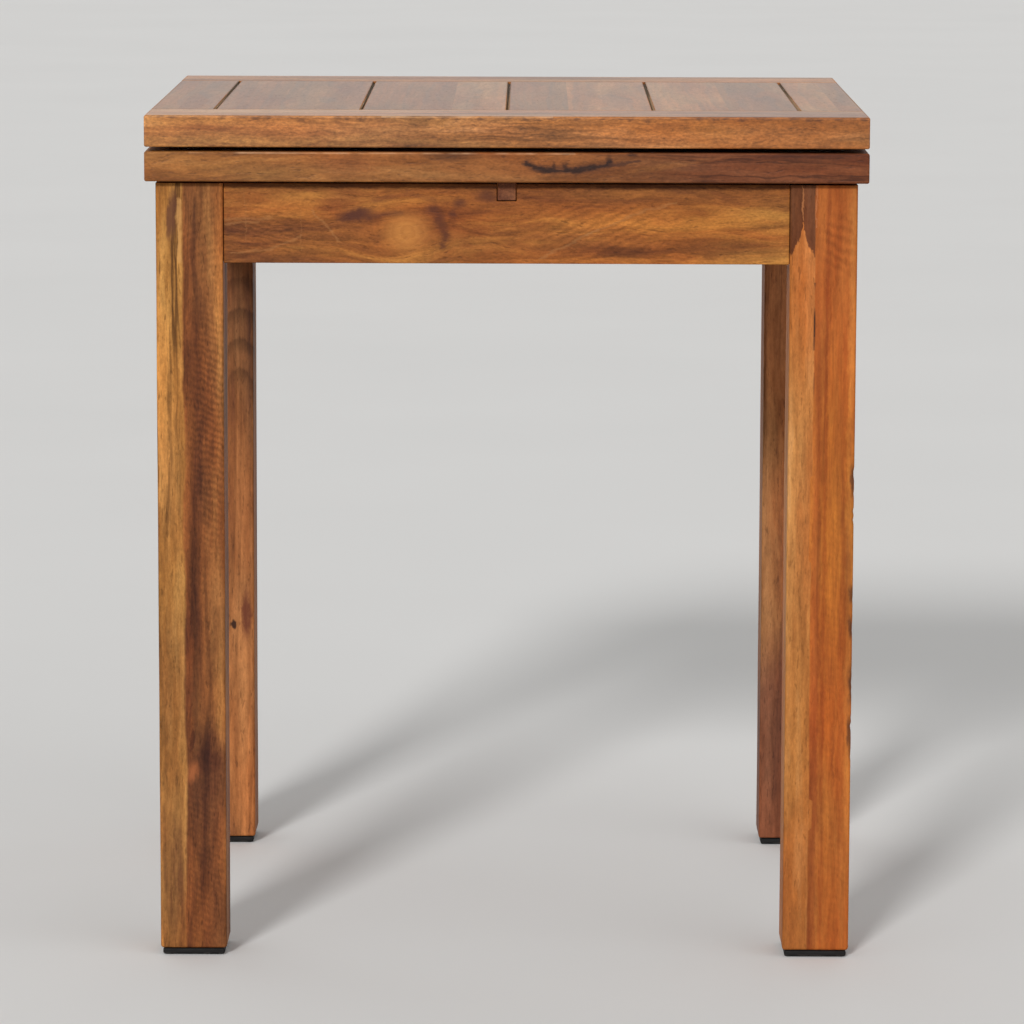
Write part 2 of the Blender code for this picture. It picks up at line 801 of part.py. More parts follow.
def make_hinges(slide_rail, flip_rail, slide_body, flip_body):
    """Two butt hinges, each of two plates on one pin."""
    pin = cylinder_mesh("hinge pin", PIN_RADIUS, -HINGE_LENGTH / 2, HINGE_LENGTH / 2, KNUCKLE_SIDES)
    for side, sx in SIDES.items():
        x = sx * HINGE_X
        make_hinge_plate(f"{side}_hinge_fixed", x, -1, slide_rail, slide_body)
        make_hinge_plate(f"{side}_hinge_turning", x, 1, flip_rail, flip_body)
        as_part(shade_round(placed(f"{side}_hinge_pin", pin, hinge_axis(x))), BRASS, slide_body)


def build():
    legs = make_legs()
    make_feet()
    make_end_aprons(legs)
    make_side_aprons(legs)
    make_bearer()
    make_braces(legs)
    slide_body = new_empty("sliding_top", (0, 0, SLIDE_BOTTOM))
    flip_body = new_empty("folding_leaf", (0, HINGE_Y, HINGE_Z))
    make_boards("lower_leaf", SLIDE_BOTTOM, SLIDE_THICK, slide_body)
    slide_rails = make_rails("lower_leaf", SLIDE_BOTTOM, SLIDE_THICK, slide_body)
    make_boards("upper_leaf", FLIP_BOTTOM, FLIP_THICK, flip_body)
    flip_rails = make_rails("upper_leaf", FLIP_BOTTOM, FLIP_THICK, flip_body)
    make_runner(slide_body)
    make_glides(slide_body)
    make_clips(slide_body)
    make_bumpers(slide_body)
    make_hinges(slide_rails["rear"], flip_rails["rear"], slide_body, flip_body)


clear_scene()
PARTS = new_collection("extending_dining_table")
CUTTERS = new_collection("cutters")
FRAME_WOOD = new_material("frame wood", (0.30, 0.12, 0.040), 0.42)
TOP_WOOD = new_material("top wood", (0.34, 0.15, 0.055), 0.38)
BLACK_PAD = new_material("black pad", (0.012, 0.012, 0.012), 0.7)
STEEL = new_material("zinc steel", (0.55, 0.55, 0.52), 0.35, 1.0)
BRASS = new_material("brass", (0.62, 0.42, 0.17), 0.32, 1.0)
FELT = new_material("brown felt", (0.07, 0.045, 0.03), 0.95)
build()
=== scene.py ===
"""Looks of the extending dining table: refined pieces, procedural finishes, studio and camera.

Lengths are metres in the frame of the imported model, with the front of the table at -Y. Every
piece of timber has its own coordinates: u along the grain, v across it on the face that shows
and w into the board. The marks in it are given in millimetres.
"""

import json
import math
from dataclasses import dataclass, replace
from functools import partial

import bmesh
import bpy
from mathutils import Matrix, Vector, noise

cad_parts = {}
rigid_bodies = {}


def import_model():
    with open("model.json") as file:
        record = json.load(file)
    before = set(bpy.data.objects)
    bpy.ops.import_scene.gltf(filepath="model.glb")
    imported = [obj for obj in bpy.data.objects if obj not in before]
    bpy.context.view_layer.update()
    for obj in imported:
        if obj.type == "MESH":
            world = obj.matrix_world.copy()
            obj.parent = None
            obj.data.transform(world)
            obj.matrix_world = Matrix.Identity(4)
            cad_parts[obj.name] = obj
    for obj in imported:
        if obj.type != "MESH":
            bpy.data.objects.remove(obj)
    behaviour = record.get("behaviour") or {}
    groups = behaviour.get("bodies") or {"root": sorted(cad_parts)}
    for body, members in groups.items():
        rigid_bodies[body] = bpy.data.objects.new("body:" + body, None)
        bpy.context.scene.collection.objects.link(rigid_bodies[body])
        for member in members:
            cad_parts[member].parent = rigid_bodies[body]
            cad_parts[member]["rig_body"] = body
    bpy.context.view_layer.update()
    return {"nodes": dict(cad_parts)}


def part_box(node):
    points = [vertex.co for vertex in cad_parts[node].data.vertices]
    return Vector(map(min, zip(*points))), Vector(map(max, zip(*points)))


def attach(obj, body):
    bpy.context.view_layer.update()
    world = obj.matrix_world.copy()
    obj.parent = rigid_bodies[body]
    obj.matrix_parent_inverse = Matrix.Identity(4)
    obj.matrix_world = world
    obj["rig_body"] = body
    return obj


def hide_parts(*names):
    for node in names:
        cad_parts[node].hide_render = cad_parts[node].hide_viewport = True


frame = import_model()

# Camera: fitted to the table's corners in the photograph
CAMERA_PLACE = Vector((0.02012, -4.73255, 1.07377))
CAMERA_PITCH = math.radians(8.5057)
CAMERA_YAW = math.radians(0.1868)
CAMERA_ROLL = math.radians(0.1858)
CAMERA_LENS = 177.706
CAMERA_SENSOR = 36.0

# Rounding of edges, and the angles from which an edge counts as sharp
LEG_EASE = 0.0028
LEG_ENDS = (0.0024, 0.0005)
TOP_EASE = 0.0018
BOARD_EASE = 0.0004
APRON_EASE = 0.0009
INNER_EASE = 0.0006
RUNNER_EASE = 0.0006
FOOT_EASE = 0.0022
FELT_EASE = 0.0005
METAL_EASE = 0.00025
SHARP = math.radians(30)
METAL_SHARP = math.radians(35)

# Distance within which corners of metal are joined, and the weight of large faces in smooth
# shading, where 50 treats all alike
WELD_REACH = 0.00001
LARGE_FACE_WEIGHT = 60

# Fits and small sizes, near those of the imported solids
FIT = 0.0003
SLIDE_FIT = 0.0008
GROOVE_HALF = 0.0014
GROOVE_DEPTH = 0.0022
CLIP_GROOVE_HALF = 0.002
CLIP_GROOVE_DEPTH = 0.009
CLIP_THICK = 0.0016
CLIP_FLANGE = 0.020
BEARER_RELIEF = (0.034, 0.026)
BARREL_ROOM = 0.0040
SCREW_PROUD = 0.00005
BOARD_COUNT = 6

# Lengths of mesh along bars
LEG_SPACING = 0.004
FOOT_SPACING = 0.002
RUNNER_SPACING = 0.05
STRIP_SPACING = 0.004

# Unevenness of surfaces: its depth, and its bumps a metre along each axis
LEG_PLANING = (0.0003, (28.0, 28.0, 9.0))
STRIP_FUZZ = (0.0002, (160.0, 160.0, 160.0))
BUMPER_FUZZ = (0.0001, (400.0, 400.0, 400.0))

# Chips in the right front leg's edge: the heights between which they lie, their size, how much
# they go along Y as against X, their bumps a metre and how readily they bite
CHIPPED = (
    (0.420, 0.449), (0.395, 0.408), (0.324, 0.339), (0.293, 0.310), (0.232, 0.266), (0.184, 0.221),
)
CHIP_REACH = 0.006
CHIP_DEPTH = 0.0034
CHIP_SLANT = 0.4
CHIP_RATE = 160.0
CHIP_BITE = 0.15

# Screws, in millimetres: radius and height of each step of the head from its face down, radius
# and length of the shank, and half the width, half the length and the depth of the cross recess
RUNNER_SCREW = (((0.5, 0), (3.6, 0), (4, -0.3), (2, -2.4)), 1.8, 20, (0.4, 2.1, 1.2))
CLIP_SCREW = (((0.4, 1.9), (1.4, 1.8), (2.4, 1.3), (3, 0.5), (3.1, 0)), 1.6, 12, (0.4, 1.8, 1.1))
HINGE_SCREW = (((0.4, 0), (2.6, 0), (2.8, -0.2), (1.2, -1.2)), 1.2, 11, (0.3, 1.6, 0.8))
RUNNER_SCREW_PLACES = (-0.20, 0.0, 0.20)

# World axes by number, and grain directions: which of them are u, v and w
X, Y, Z = 0, 1, 2
GRAIN_X = (X, Z, Y)
GRAIN_Y = (Y, X, Z)
GRAIN_Y_UPRIGHT = (Y, Z, X)
GRAIN_Z = (Z, X, Y)

SIDES = (("left", -1), ("right", 1))
ENDS = (("front", -1), ("rear", 1))


# Values and settings


def tint(red, green, blue):
    """A colour given as sRGB values from 0 to 255, as the linear RGBA that nodes take."""
    channels = [c / 255 for c in (red, green, blue)]
    linear = [c / 12.92 if c <= 0.04045 else ((c + 0.055) / 1.055) ** 2.4 for c in channels]
    return (*linear, 1.0)


def metres(millimetres):
    return tuple(value / 1000 for value in millimetres)


def configure(item, **settings):
    """Gives a node, a modifier or other data its settings."""
    for key, value in settings.items():
        setattr(item, key, value)
    return item


# Node trees: most functions add nodes and give an output


def feed(socket, value):
    """Links an output to a socket, or sets the socket to a value."""
    if isinstance(value, bpy.types.NodeSocket):
        socket.id_data.links.new(value, socket)
    elif value is not None:
        socket.default_value = value


def add(kind, *values, tree=None, **settings):
    """A node fed with values in order, in a tree or else in the tree that they come from."""
    if not tree:
        tree = next(value.id_data for value in values if isinstance(value, bpy.types.NodeSocket))
    node = configure(tree.nodes.new("ShaderNode" + kind), **settings)
    for socket, value in zip(node.inputs, values):
        feed(socket, value)
    return node


def number(operation, *values, clamp=False):
    return add("Math", *values, operation=operation, use_clamp=clamp).outputs[0]


def vector(operation, *values, output=0):
    return add("VectorMath", *values, operation=operation).outputs[output]


# On numbers
plus = partial(number, "ADD")
minus = partial(number, "SUBTRACT")
times = partial(number, "MULTIPLY")
times_plus = partial(number, "MULTIPLY_ADD")

# On vectors and colours
total = partial(vector, "ADD")
offset = partial(vector, "SUBTRACT")
product = partial(vector, "MULTIPLY")
magnitude = partial(vector, "LENGTH", output=1)
dot = partial(vector, "DOT_PRODUCT", output=1)


def scale(value, factor):
    return vector("SCALE", value, None, None, factor)


def parts(value):
    return add("SeparateXYZ", value).outputs


def streaks(place, rates, detail=2, roughness=0.5, output=0):
    """Noise with its own number of waves a metre along each axis."""
    return add("TexNoise", product(place, rates), None, 1, detail, roughness).outputs[output]


def wander(place, rates, detail=2):
    """A vector of noise about zero."""
    return offset(streaks(place, rates, detail, output=1), (0.5, 0.5, 0.5))


def rise(value, low, high, bottom=0, top=1, kind="SMOOTHSTEP"):
    """A smooth step from bottom to top as the value goes from low to high."""
    return add("MapRange", value, low, high, bottom, top, interpolation_type=kind).outputs[0]


# A straight line in place of the step
span = partial(rise, kind="LINEAR")


def ramp(value, stops):
    node = add("ValToRGB", value)
    elements = node.color_ramp.elements
    while len(elements) < len(stops):
        elements.new(1.0)
    for element, (position, colour) in zip(elements, stops):
        configure(element, position=position, color=colour)
    return node.outputs[0]


def mix(factor, first, second):
    """Two colours mixed by a factor."""
    return add("Mix", factor, *[None] * 5, first, second, data_type="RGBA").outputs[2]


def late_wood(turns):
    """Dark lines once a turn, soft on the inside and crisp on the outside."""
    phase = number("FRACT", turns)
    return times(rise(phase, 0.1, 0.82), rise(phase, 1.0, 0.84))


def new_material(name):
    """A material and the output that has a point's place on its object."""
    material = bpy.data.materials.new(name)
    material.use_nodes = True
    return material, add("TexCoord", tree=material.node_tree).outputs["Object"]


def shade(colour, roughness, bump=None, specular=0.5, metallic=0, sheen=0):
    """Feeds the main shader; bump is a height, its strength and its depth in metres."""
    shader = colour.id_data.nodes["Principled BSDF"]
    names = ("Base Color", "Roughness", "Specular IOR Level", "Metallic", "Sheen Weight")
    for name, value in zip(names, (colour, roughness, specular, metallic, sheen)):
        feed(shader.inputs[name], value)
    if bump:
        node = add("Bump", tree=colour.id_data)
        for name, value in zip(("Height", "Strength", "Distance"), bump):
            feed(node.inputs[name], value)
        feed(shader.inputs["Normal"], node.outputs[0])


# Timber

# How fast growth rings narrow along the trunk, and how deep strokes and the grain's relief go
TRUNK_TAPER = (0.055, 1, 1)
STROKE_DEPTH = 0.012
RELIEF_DEPTH = 0.0004

# Distances from an edge between which it is rubbed pale, partly wear and partly painted highlight, and
# dull
PALE_EDGE = (0.0022, 0.0004)
DULL_EDGE = (0.0030, 0.0010)

# Depths between which dust begins in a groove, and the width of an outer side that has none
DUST_DEPTHS = (0.0002, 0.0009)
DUST_FREE = 0.01

# How far the outlines of marks stray, in large and in small waves
COARSE_STRAY = 0.0065
FINE_STRAY = 0.0035

# Lengths over which a step in a joint begins and ends
STEP_START = 0.004
STEP_END = 0.002


def figure_group():
    """The figure that all timber shares, as a node group.

    Place is u, v, w in metres. Seed shifts the figure, Pith is the heart of the trunk, Ring the
    width of a growth ring, Waver how far the grain wanders from straight, Curl how much it
    swirls on the way and Grit how grainy the surface is.
    """
    tree = bpy.data.node_groups.new("wood figure", "ShaderNodeTree")
    for way, kind, names in (
        ("INPUT", "Vector", ("Place", "Seed", "Pith")),
        ("INPUT", "Float", ("Ring", "Waver", "Curl", "Grit")),
        ("OUTPUT", "Float", ("Tone", "Rings", "Fibre", "Pores", "Heart", "Ripple", "Warmth")),
    ):
        for name in names:
            tree.interface.new_socket(name, in_out=way, socket_type="NodeSocket" + kind)
    place, seed, pith, ring, waver, curl, grit, _ = tree.nodes.new("NodeGroupInput").outputs
    ground = total(place, seed)
    slow = wander(ground, (2.4, 13, 13))
    swirl = scale(wander(ground, (12, 42, 42)), curl)
    quick = scale(wander(ground, (34, 150, 150)), 0.10)
    across = product(total(total(slow, swirl), quick), (0, 1, 1))
    bent = total(place, scale(across, waver))
    lines = total(bent, seed)

    reach = magnitude(product(offset(bent, pith), TRUNK_TAPER))
    turns = number("DIVIDE", reach, ring)
    year = add("TexWhiteNoise", None, number("FLOOR", turns), noise_dimensions="1D").outputs[0]
    rings = times(late_wood(turns), span(year, 0, 1, 0.25, 1))

    tone = streaks(lines, (3.2, 36, 36), 5, 0.66)
    fibre = streaks(lines, (46, 290, 290), 4, 0.72)
    mottle = streaks(ground, (70, 150, 150), 3, 0.65)
    fibre = times_plus(minus(mottle, 0.5), 0.7, fibre)
    grains = streaks(ground, (300, 560, 560), 2, 0.6)
    fibre = times_plus(minus(grains, 0.5), grit, fibre)
    pores = rise(streaks(lines, (80, 430, 430), 2, 0.6), 0.60, 0.70)
    warmth = streaks(ground, (5, 24, 24))
    vein = streaks(lines, (1.3, 46, 46), 4, 0.6)
    ridge = number("ABSOLUTE", minus(vein, 0.5))
    where = rise(streaks(ground, (2.6, 18, 18)), 0.46, 0.64)
    heart = times(rise(ridge, 0.04, 0), where)
    u, v, _ = parts(ground)
    bands = times(streaks(ground, (22, 60, 60)), 16)
    wave = number("SINE", times_plus(times_plus(v, 0.5, u), 900, bands))
    rippled = rise(streaks(ground, (7, 40, 40)), 0.42, 0.62)
    ripple = times(wave, rippled)

    ends = tree.nodes.new("NodeGroupOutput").inputs
    for socket, value in zip(ends, (tone, rings, fibre, pores, heart, ripple, warmth)):
        feed(socket, value)
    return tree


@dataclass
class Stave:
    """One strip of timber: its colours, how its figure runs and the marks in it."""

    dark: tuple
    middle: tuple
    light: tuple
    seed: float = 1.0
    pith: tuple = (0.0, 0.03, 0.09)
    ring: float = 0.0048
    waver: float = 0.016
    curl: float = 0.3
    grit: float = 0.5
    rings: float = 0.26
    fibre: float = 0.85
    pores: float = 0.42
    heart: float = 0.60
    ripple: float = 0.0
    marks: tuple = ()


@dataclass
class Joint:
    """The line between two staves: where it starts, how it leans and wanders, and its steps.

    Each step is (u from, u to, how far v is shifted between them). Soft is half the width over
    which one stave turns into the other.
    """

    start: float
    slope: float = 0.0
    wander: float = 0.0004
    steps: tuple = ()
    soft: float = 0.0004


@dataclass
class Surface:
    """What the parts of one material share while its nodes are made, in u, v and w."""

    place: object
    ragged: object
    low: Vector
    high: Vector

    def spot(self, point):
        """A point (u, v) in millimetres on the face that shows."""
        return (*metres(point), self.low.z)


def seed_vector(seed):
    return (seed * 1.713 % 19.0, seed * 3.137 % 23.0, seed * 5.291 % 29.0)


def stave_colour(surface, stave):
    """The colour and the relief of one stave."""
    pith = (surface.low + surface.high) / 2 + Vector(stave.pith)
    values = (seed_vector(stave.seed), pith, stave.ring, stave.waver, stave.curl, stave.grit)
    figure = add("Group", surface.place, *values, node_tree=FIGURE).outputs
    tone, rings, fibre, pores, heart, ripple, warmth = figure
    colour = ramp(tone, [(0.34, stave.dark), (0.5, stave.middle), (0.66, stave.light)])
    deep = (*(c * 0.42 for c in stave.dark[:3]), 1.0)
    light = times_plus(fibre, stave.fibre, 1 - stave.fibre / 2)
    light = times(light, times_plus(rings, -stave.rings, 1 + stave.rings / 4))
    if stave.ripple:
        light = times(light, times_plus(ripple, stave.ripple, 1))
    hue = mix(rise(warmth, 0.36, 0.64), WARM, COOL)
    colour = product(scale(colour, light), hue)
    for mask, strength in ((heart, stave.heart), (pores, stave.pores)):
        colour = mix(times(mask, strength), colour, deep)
    for paint in stave.marks:
        colour = paint(surface, colour)
    return colour, times_plus(pores, -0.8, times_plus(rings, 0.25, fibre))


def joint_mask(surface, joint):
    """0 before a joint between staves and 1 past it."""
    u, v, _ = parts(surface.place)
    drift = minus(streaks(surface.place, (14, 3, 3), 5, 0.6), 0.5)
    line = times_plus(u, joint.slope, joint.start)
    line = times_plus(drift, joint.wander, line)
    for low, high, shift in joint.steps:
        inside = times(rise(u, low, low + STEP_START), rise(u, high, high - STEP_END))
        line = times_plus(inside, shift, line)
    return rise(minus(v, line), -joint.soft, joint.soft)


def edge_distance(surface):
    """How far a point on a box lies from the nearest edge."""
    off = vector("ABSOLUTE", offset(surface.place, (surface.low + surface.high) / 2))
    a, b, c = parts(offset((surface.high - surface.low) / 2, off))
    least, most = number("MINIMUM", a, b), number("MAXIMUM", a, b)
    return number("MAXIMUM", least, number("MINIMUM", most, c))


def groove_mask(surface, first, last):
    """1 in the grooves beside a board, 0 on its faces and on the outside of the first and last."""
    low, high = surface.low, surface.high
    _, v, w = parts(surface.place)
    shallow, deep = DUST_DEPTHS
    sunk = rise(w, high.z - shallow, high.z - deep)
    below = rise(w, low.z + shallow, low.z + deep)
    left = low.y + DUST_FREE if first else low.y - 1
    right = high.y - DUST_FREE if last else high.y + 1
    inside = times(rise(v, left, left + 0.001), rise(v, right, right - 0.001))
    return times(times(sunk, below), inside)


def ellipse_mask(surface, centre, radii, strength, soft, turn=0):
    """1 inside a ragged ellipsoid and 0 outside; turn is in degrees on the face."""
    off = offset(surface.ragged, surface.spot(centre))
    if turn:
        angle = math.radians(turn)
        off = add("VectorRotate", off, None, None, angle, rotation_type="Z_AXIS").outputs[0]
    reach = magnitude(vector("DIVIDE", off, metres(radii)))
    return rise(reach, 1 + soft, 1 - soft, 0, strength)


def bulge(surface, centre, reach, amount):
    """Lets the grain flow round a point, as it does round a branch."""
    off = offset(surface.place, surface.spot(centre))
    near = rise(magnitude(product(off, (0.7, 1, 0.4))), reach / 1000, 0, 0, amount)
    shift = scale(product(off, (0, 1, 0)), near)
    surface.place = offset(surface.place, shift)


def mark(paint):
    """Turns a function that paints over a surface's base colour into a maker of such marks."""

    def make(*values, **named):
        return lambda surface, base: paint(surface, base, *values, **named)

    return make


@mark
def patch(surface, base, colour, centre, radii, strength=0.8, soft=0.55, turn=0):
    """A spot of another colour."""
    return mix(ellipse_mask(surface, centre, radii, strength, soft, turn), base, colour)


@mark
def tinge(surface, base, factors, centre, radii, strength=1, soft=0.8, turn=0):
    """A place where the timber's own red, green and blue are stronger or weaker."""
    mask = ellipse_mask(surface, centre, radii, strength, soft, turn)
    return mix(mask, base, product(base, factors))


@mark
def stroke(surface, base, colour, points, width, strength=0.9, soft=0.6, ragged=True):
    """A line through points, ragged or else broken here and there."""
    place = surface.ragged if ragged else surface.place
    points = [Vector(surface.spot(point)) for point in points]
    width /= 1000
    nearest = None
    for first, second in zip(points, points[1:]):
        run = second - first
        off = offset(place, first)
        along = plus(dot(off, run / run.length_squared), 0, clamp=True)
        off = offset(off, scale(run, along))
        reach = magnitude(product(off, (1, 1, width / STROKE_DEPTH)))
        nearest = reach if nearest is None else number("MINIMUM", nearest, reach)
    mask = rise(nearest, width * (1 + soft), width * (1 - soft), 0, strength)
    if not ragged:
        mask = times(mask, rise(streaks(place, (40, 9, 9)), 0.3, 0.7))
    return mix(mask, base, colour)


@mark
def eye(surface, base, core, ring_colour, centre, radius, ring, strength):
    """A pale eye with rings round it, where a small branch grew."""
    off = offset(surface.ragged, surface.spot(centre))
    reach = magnitude(product(off, (0.8, 1, 0.6)))
    mask = rise(reach, radius / 1000 * 1.5, radius / 1000 * 0.35, 0, strength)
    late = late_wood(number("DIVIDE", reach, ring / 1000))
    return mix(mask, base, mix(times(late, 0.25), core, ring_colour))


@mark
def arches(surface, base, heart, squeeze, ring, centre, radii, depth):
    """Dark arches of growth rings about a far heart, seen within radii of a centre."""
    off = product(offset(surface.ragged, surface.spot(heart)), squeeze)
    late = late_wood(number("DIVIDE", magnitude(off), ring / 1000))
    mask = ellipse_mask(surface, centre, radii, depth, 0.5)
    dark = times(number("POWER", late, 2), mask)
    return scale(base, minus(1, dark))


@mark
def waves(surface, base, direction, centre, radii, depth):
    """Light and dark ripples; direction points across them, in radians a metre."""
    drift = times(streaks(surface.place, (25, 45, 45)), 9)
    wave = number("SINE", plus(dot(surface.ragged, direction), drift))
    mask = ellipse_mask(surface, centre, radii, depth, 0.6)
    return scale(base, times_plus(wave, mask, 1))


@mark
def flame(surface, base, factors, tip, spread):
    """All above a thin tip is tinged; spread says how fast that widens."""
    tip_u, tip_v = metres(tip)
    u, v, _ = parts(surface.ragged)
    fall = number("POWER", number("ABSOLUTE", minus(v, tip_v)), 0.45)
    above = minus(times_plus(fall, spread, u), tip_u)
    mask = rise(above, -0.0015, 0.0015, 0, 0.9)
    return mix(mask, base, product(base, factors))


def timber(name, low, high, grain, staves, joints=(), marks=(), knots=(), grooves=None,
           roughness=0.58, shine=0.16, bump=0.45):
    """A lacquered board between two corners.

    Staves follow each other across the board at the joints. Marks are painted over them in
    order, and the grain flows round the knots. A board with dusty grooves beside it has grooves
    say whether it is the first of its row and whether it is the last.
    """
    material, world = new_material(name)
    axes = parts(world)
    place = add("CombineXYZ", *(axes[axis] for axis in grain)).outputs[0]
    low, high = (Vector([corner[axis] for axis in grain]) for corner in (low, high))
    coarse = scale(wander(place, (55, 190, 190), 3), COARSE_STRAY)
    fine = scale(wander(place, (260, 520, 520)), FINE_STRAY)
    ragged = total(place, total(coarse, fine))
    surface = Surface(place, ragged, low, high)
    for knot in knots:
        bulge(surface, *knot)

    colour, relief = stave_colour(surface, staves[0])
    for stave, joint in zip(staves[1:], joints):
        other, other_relief = stave_colour(surface, stave)
        past = joint_mask(surface, joint)
        colour = mix(past, colour, other)
        relief = add("Mix", past, None, relief, other_relief).outputs[0]
    for paint in marks:
        colour = paint(surface, colour)

    surface.place = place
    edge = edge_distance(surface)
    broken = rise(streaks(place, (60, 160, 160), 3), 0.42, 0.62)
    # Edges are lightened: partly wear, partly a painted highlight
    rubbed_and_highlight = times(rise(edge, *PALE_EDGE), broken)
    colour = scale(colour, times_plus(rubbed_and_highlight, 0.25, 1))
    rough = times_plus(relief, -0.06, roughness + 0.03)
    rough = plus(rough, rise(edge, *DULL_EDGE, 0, 0.16))
    if grooves:
        mask = groove_mask(surface, *grooves)
        colour = mix(times(mask, 0.85), colour, DUST)
        rough = times_plus(mask, 0.4, rough)
    shade(colour, rough, (relief, bump, RELIEF_DEPTH), shine)
    return material


# Other finishes


def pad_material():
    """Black moulded foot: fine grain, greyer where it rubs on the floor."""
    material, place = new_material("black pad")
    speck = streaks(place, (900, 900, 900))
    scuff = streaks(place, (90, 90, 160), 3)
    worn = times(rise(parts(place)[Z], 0.003, 0), rise(scuff, 0.45, 0.65))
    colour = mix(speck, tint(9, 8, 8), tint(20, 18, 17))
    colour = mix(times(worn, 0.6), colour, tint(74, 70, 66))
    shade(colour, span(scuff, 0.3, 0.7, 0.6, 0.8), (speck, 0.3, 0.0002), 0.25)
    return material


def metal_material(name, clean, dull, roughness, brushed):
    """Bare or plated metal with fine brushing and a blotchy patina."""
    material, place = new_material(name)
    lines = streaks(place, brushed, 3, 0.6)
    blotch = streaks(place, (210, 210, 210), 3, 0.55)
    colour = mix(rise(blotch, 0.42, 0.68), clean, dull)
    colour = scale(colour, span(lines, 0.2, 0.8, 0.9, 1.08))
    rough = times_plus(lines, 0.08, times_plus(blotch, 0.22, roughness - 0.1))
    shade(colour, rough, (lines, 0.25, 0.0001), metallic=1)
    return material


def felt_material():
    """Brown pressed felt: matted fibres in clumps."""
    material, place = new_material("brown felt")
    matted = streaks(place, (900, 900, 900), 4, 0.7)
    clumps = streaks(place, (140, 140, 140))
    colour = mix(rise(matted, 0.3, 0.7), tint(52, 40, 33), tint(104, 84, 68))
    colour = scale(colour, span(clumps, 0.3, 0.7, 0.85, 1.12))
    shade(colour, span(matted, 0.3, 0.7, 0.98, 0.88), (matted, 0.6, 0.0005), sheen=0.25)
    return material


# Meshes


def point_at(axis, along, a_value, b_value):
    """A point from its place along an axis and on the two axes that follow it."""
    point = Vector((0, 0, 0))
    point[axis], point[(axis + 1) % 3], point[(axis + 2) % 3] = along, a_value, b_value
    return point


def rounded_ring(half_a, half_b, radius, steps, divisions):
    """A rectangle with rounded corners about the origin, anticlockwise."""
    arcs = []
    for index, (sa, sb) in enumerate(((1, 1), (-1, 1), (-1, -1), (1, -1))):
        arc = []
        for step in range(steps + 1):
            angle = math.pi / 2 * (index + step / steps)
            a = sa * (half_a - radius) + radius * math.cos(angle)
            b = sb * (half_b - radius) + radius * math.sin(angle)
            arc.append(Vector((a, b)))
        arcs.append(arc)
    ring = []
    for arc, following in zip(arcs, arcs[1:] + arcs[:1]):
        ring += arc
        ring += [arc[-1].lerp(following[0], i / divisions) for i in range(1, divisions)]
    return ring


def loft(rings):
    """Joins rings of points, each with as many, and closes both ends."""
    shape = bmesh.new()
    rows = [[shape.verts.new(point) for point in ring] for ring in rings]
    for row, following in zip(rows, rows[1:]):
        for i in range(len(row)):
            j = (i + 1) % len(row)
            shape.faces.new((row[i], row[j], following[j], following[i]))
    shape.faces.new(list(reversed(rows[0])))
    shape.faces.new(rows[-1])
    bmesh.ops.recalc_face_normals(shape, faces=shape.faces)
    return shape


def bar(low, high, axis, ease, spacing, steps=4, divisions=3, ends=None):
    """A straight bar with all its edges rounded, in short lengths along its axis.

    The edges round its low and its high end can have their own rounding.
    """
    a, b = (axis + 1) % 3, (axis + 2) % 3
    middle, half = (low + high) / 2, (high - low) / 2
    low_ease, high_ease = ends or (ease, ease)
    first, last = low[axis] + low_ease, high[axis] - high_ease
    quarter = [math.pi / 2 * step / steps for step in range(steps + 1)]
    count = max(1, round((last - first) / spacing))
    stations = [(first - low_ease * math.cos(t), low_ease * (1 - math.sin(t))) for t in quarter]
    stations += [(first + (last - first) * i / count, 0.0) for i in range(1, count)]
    stations += [(last + high_ease * math.cos(t), high_ease * (1 - math.sin(t))) for t in quarter[::-1]]
    rings = []
    for place, inset in stations:
        radius = max(ease - inset, ease * 0.15)
        ring = rounded_ring(half[a] - inset, half[b] - inset, radius, steps, divisions)
        rings.append([point_at(axis, place, middle[a] + pa, middle[b] + pb) for pa, pb in ring])
    return loft(rings)


def wobble(shape, amount, frequency, seed):
    """Moves a hand-planed surface in and out a little."""
    shape.normal_update()
    shift = Vector(seed_vector(seed))
    moves = []
    for vert in shape.verts:
        place = Vector(c * w for c, w in zip(vert.co, frequency)) + shift
        moves.append(vert.normal * (amount * (noise.noise(place) - 0.5)))
    for vert, move in zip(shape.verts, moves):
        vert.co += move
    return shape


def nibble(shape, x, y, seed):
    """Chips the upright edge at (x, y)."""
    shift = Vector(seed_vector(seed))
    inward = Vector((-math.copysign(1, x), -math.copysign(1, y) * CHIP_SLANT, 0.0))
    for vert in shape.verts:
        off = Vector((x - vert.co.x, y - vert.co.y, 0.0)).length
        if off > CHIP_REACH or not any(low < vert.co.z < high for low, high in CHIPPED):
            continue
        bite = noise.noise(Vector((0.0, 0.0, vert.co.z * CHIP_RATE)) + shift)
        vert.co += inward * CHIP_DEPTH * max(0.0, bite + CHIP_BITE) * (1 - off / CHIP_REACH)


def block(low, high):
    """A plain box to be eased or cut."""
    shape = bmesh.new()
    bmesh.ops.create_cube(shape, size=1.0)
    bmesh.ops.scale(shape, vec=high - low, verts=shape.verts)
    bmesh.ops.translate(shape, vec=(low + high) / 2, verts=shape.verts)
    return shape


def ease_edges(shape, amount, chosen=lambda a, b: True, steps=3):
    """Rounds the chosen sharp edges; chosen is asked with an edge's two ends."""
    edges = []
    for edge in shape.edges:
        if edge.calc_face_angle(0.0) > SHARP and chosen(edge.verts[0].co, edge.verts[1].co):
            edges.append(edge)
    bmesh.ops.bevel(
        shape, geom=edges, offset=amount, segments=steps, profile=0.5, affect="EDGES", clamp_overlap=True
    )
    return shape


def prism(outline, axis, low, high):
    """A flat outline of (a, b) points, extruded along an axis from one corner to another."""
    return loft([[point_at(axis, end[axis], pa, pb) for pa, pb in outline] for end in (low, high)])


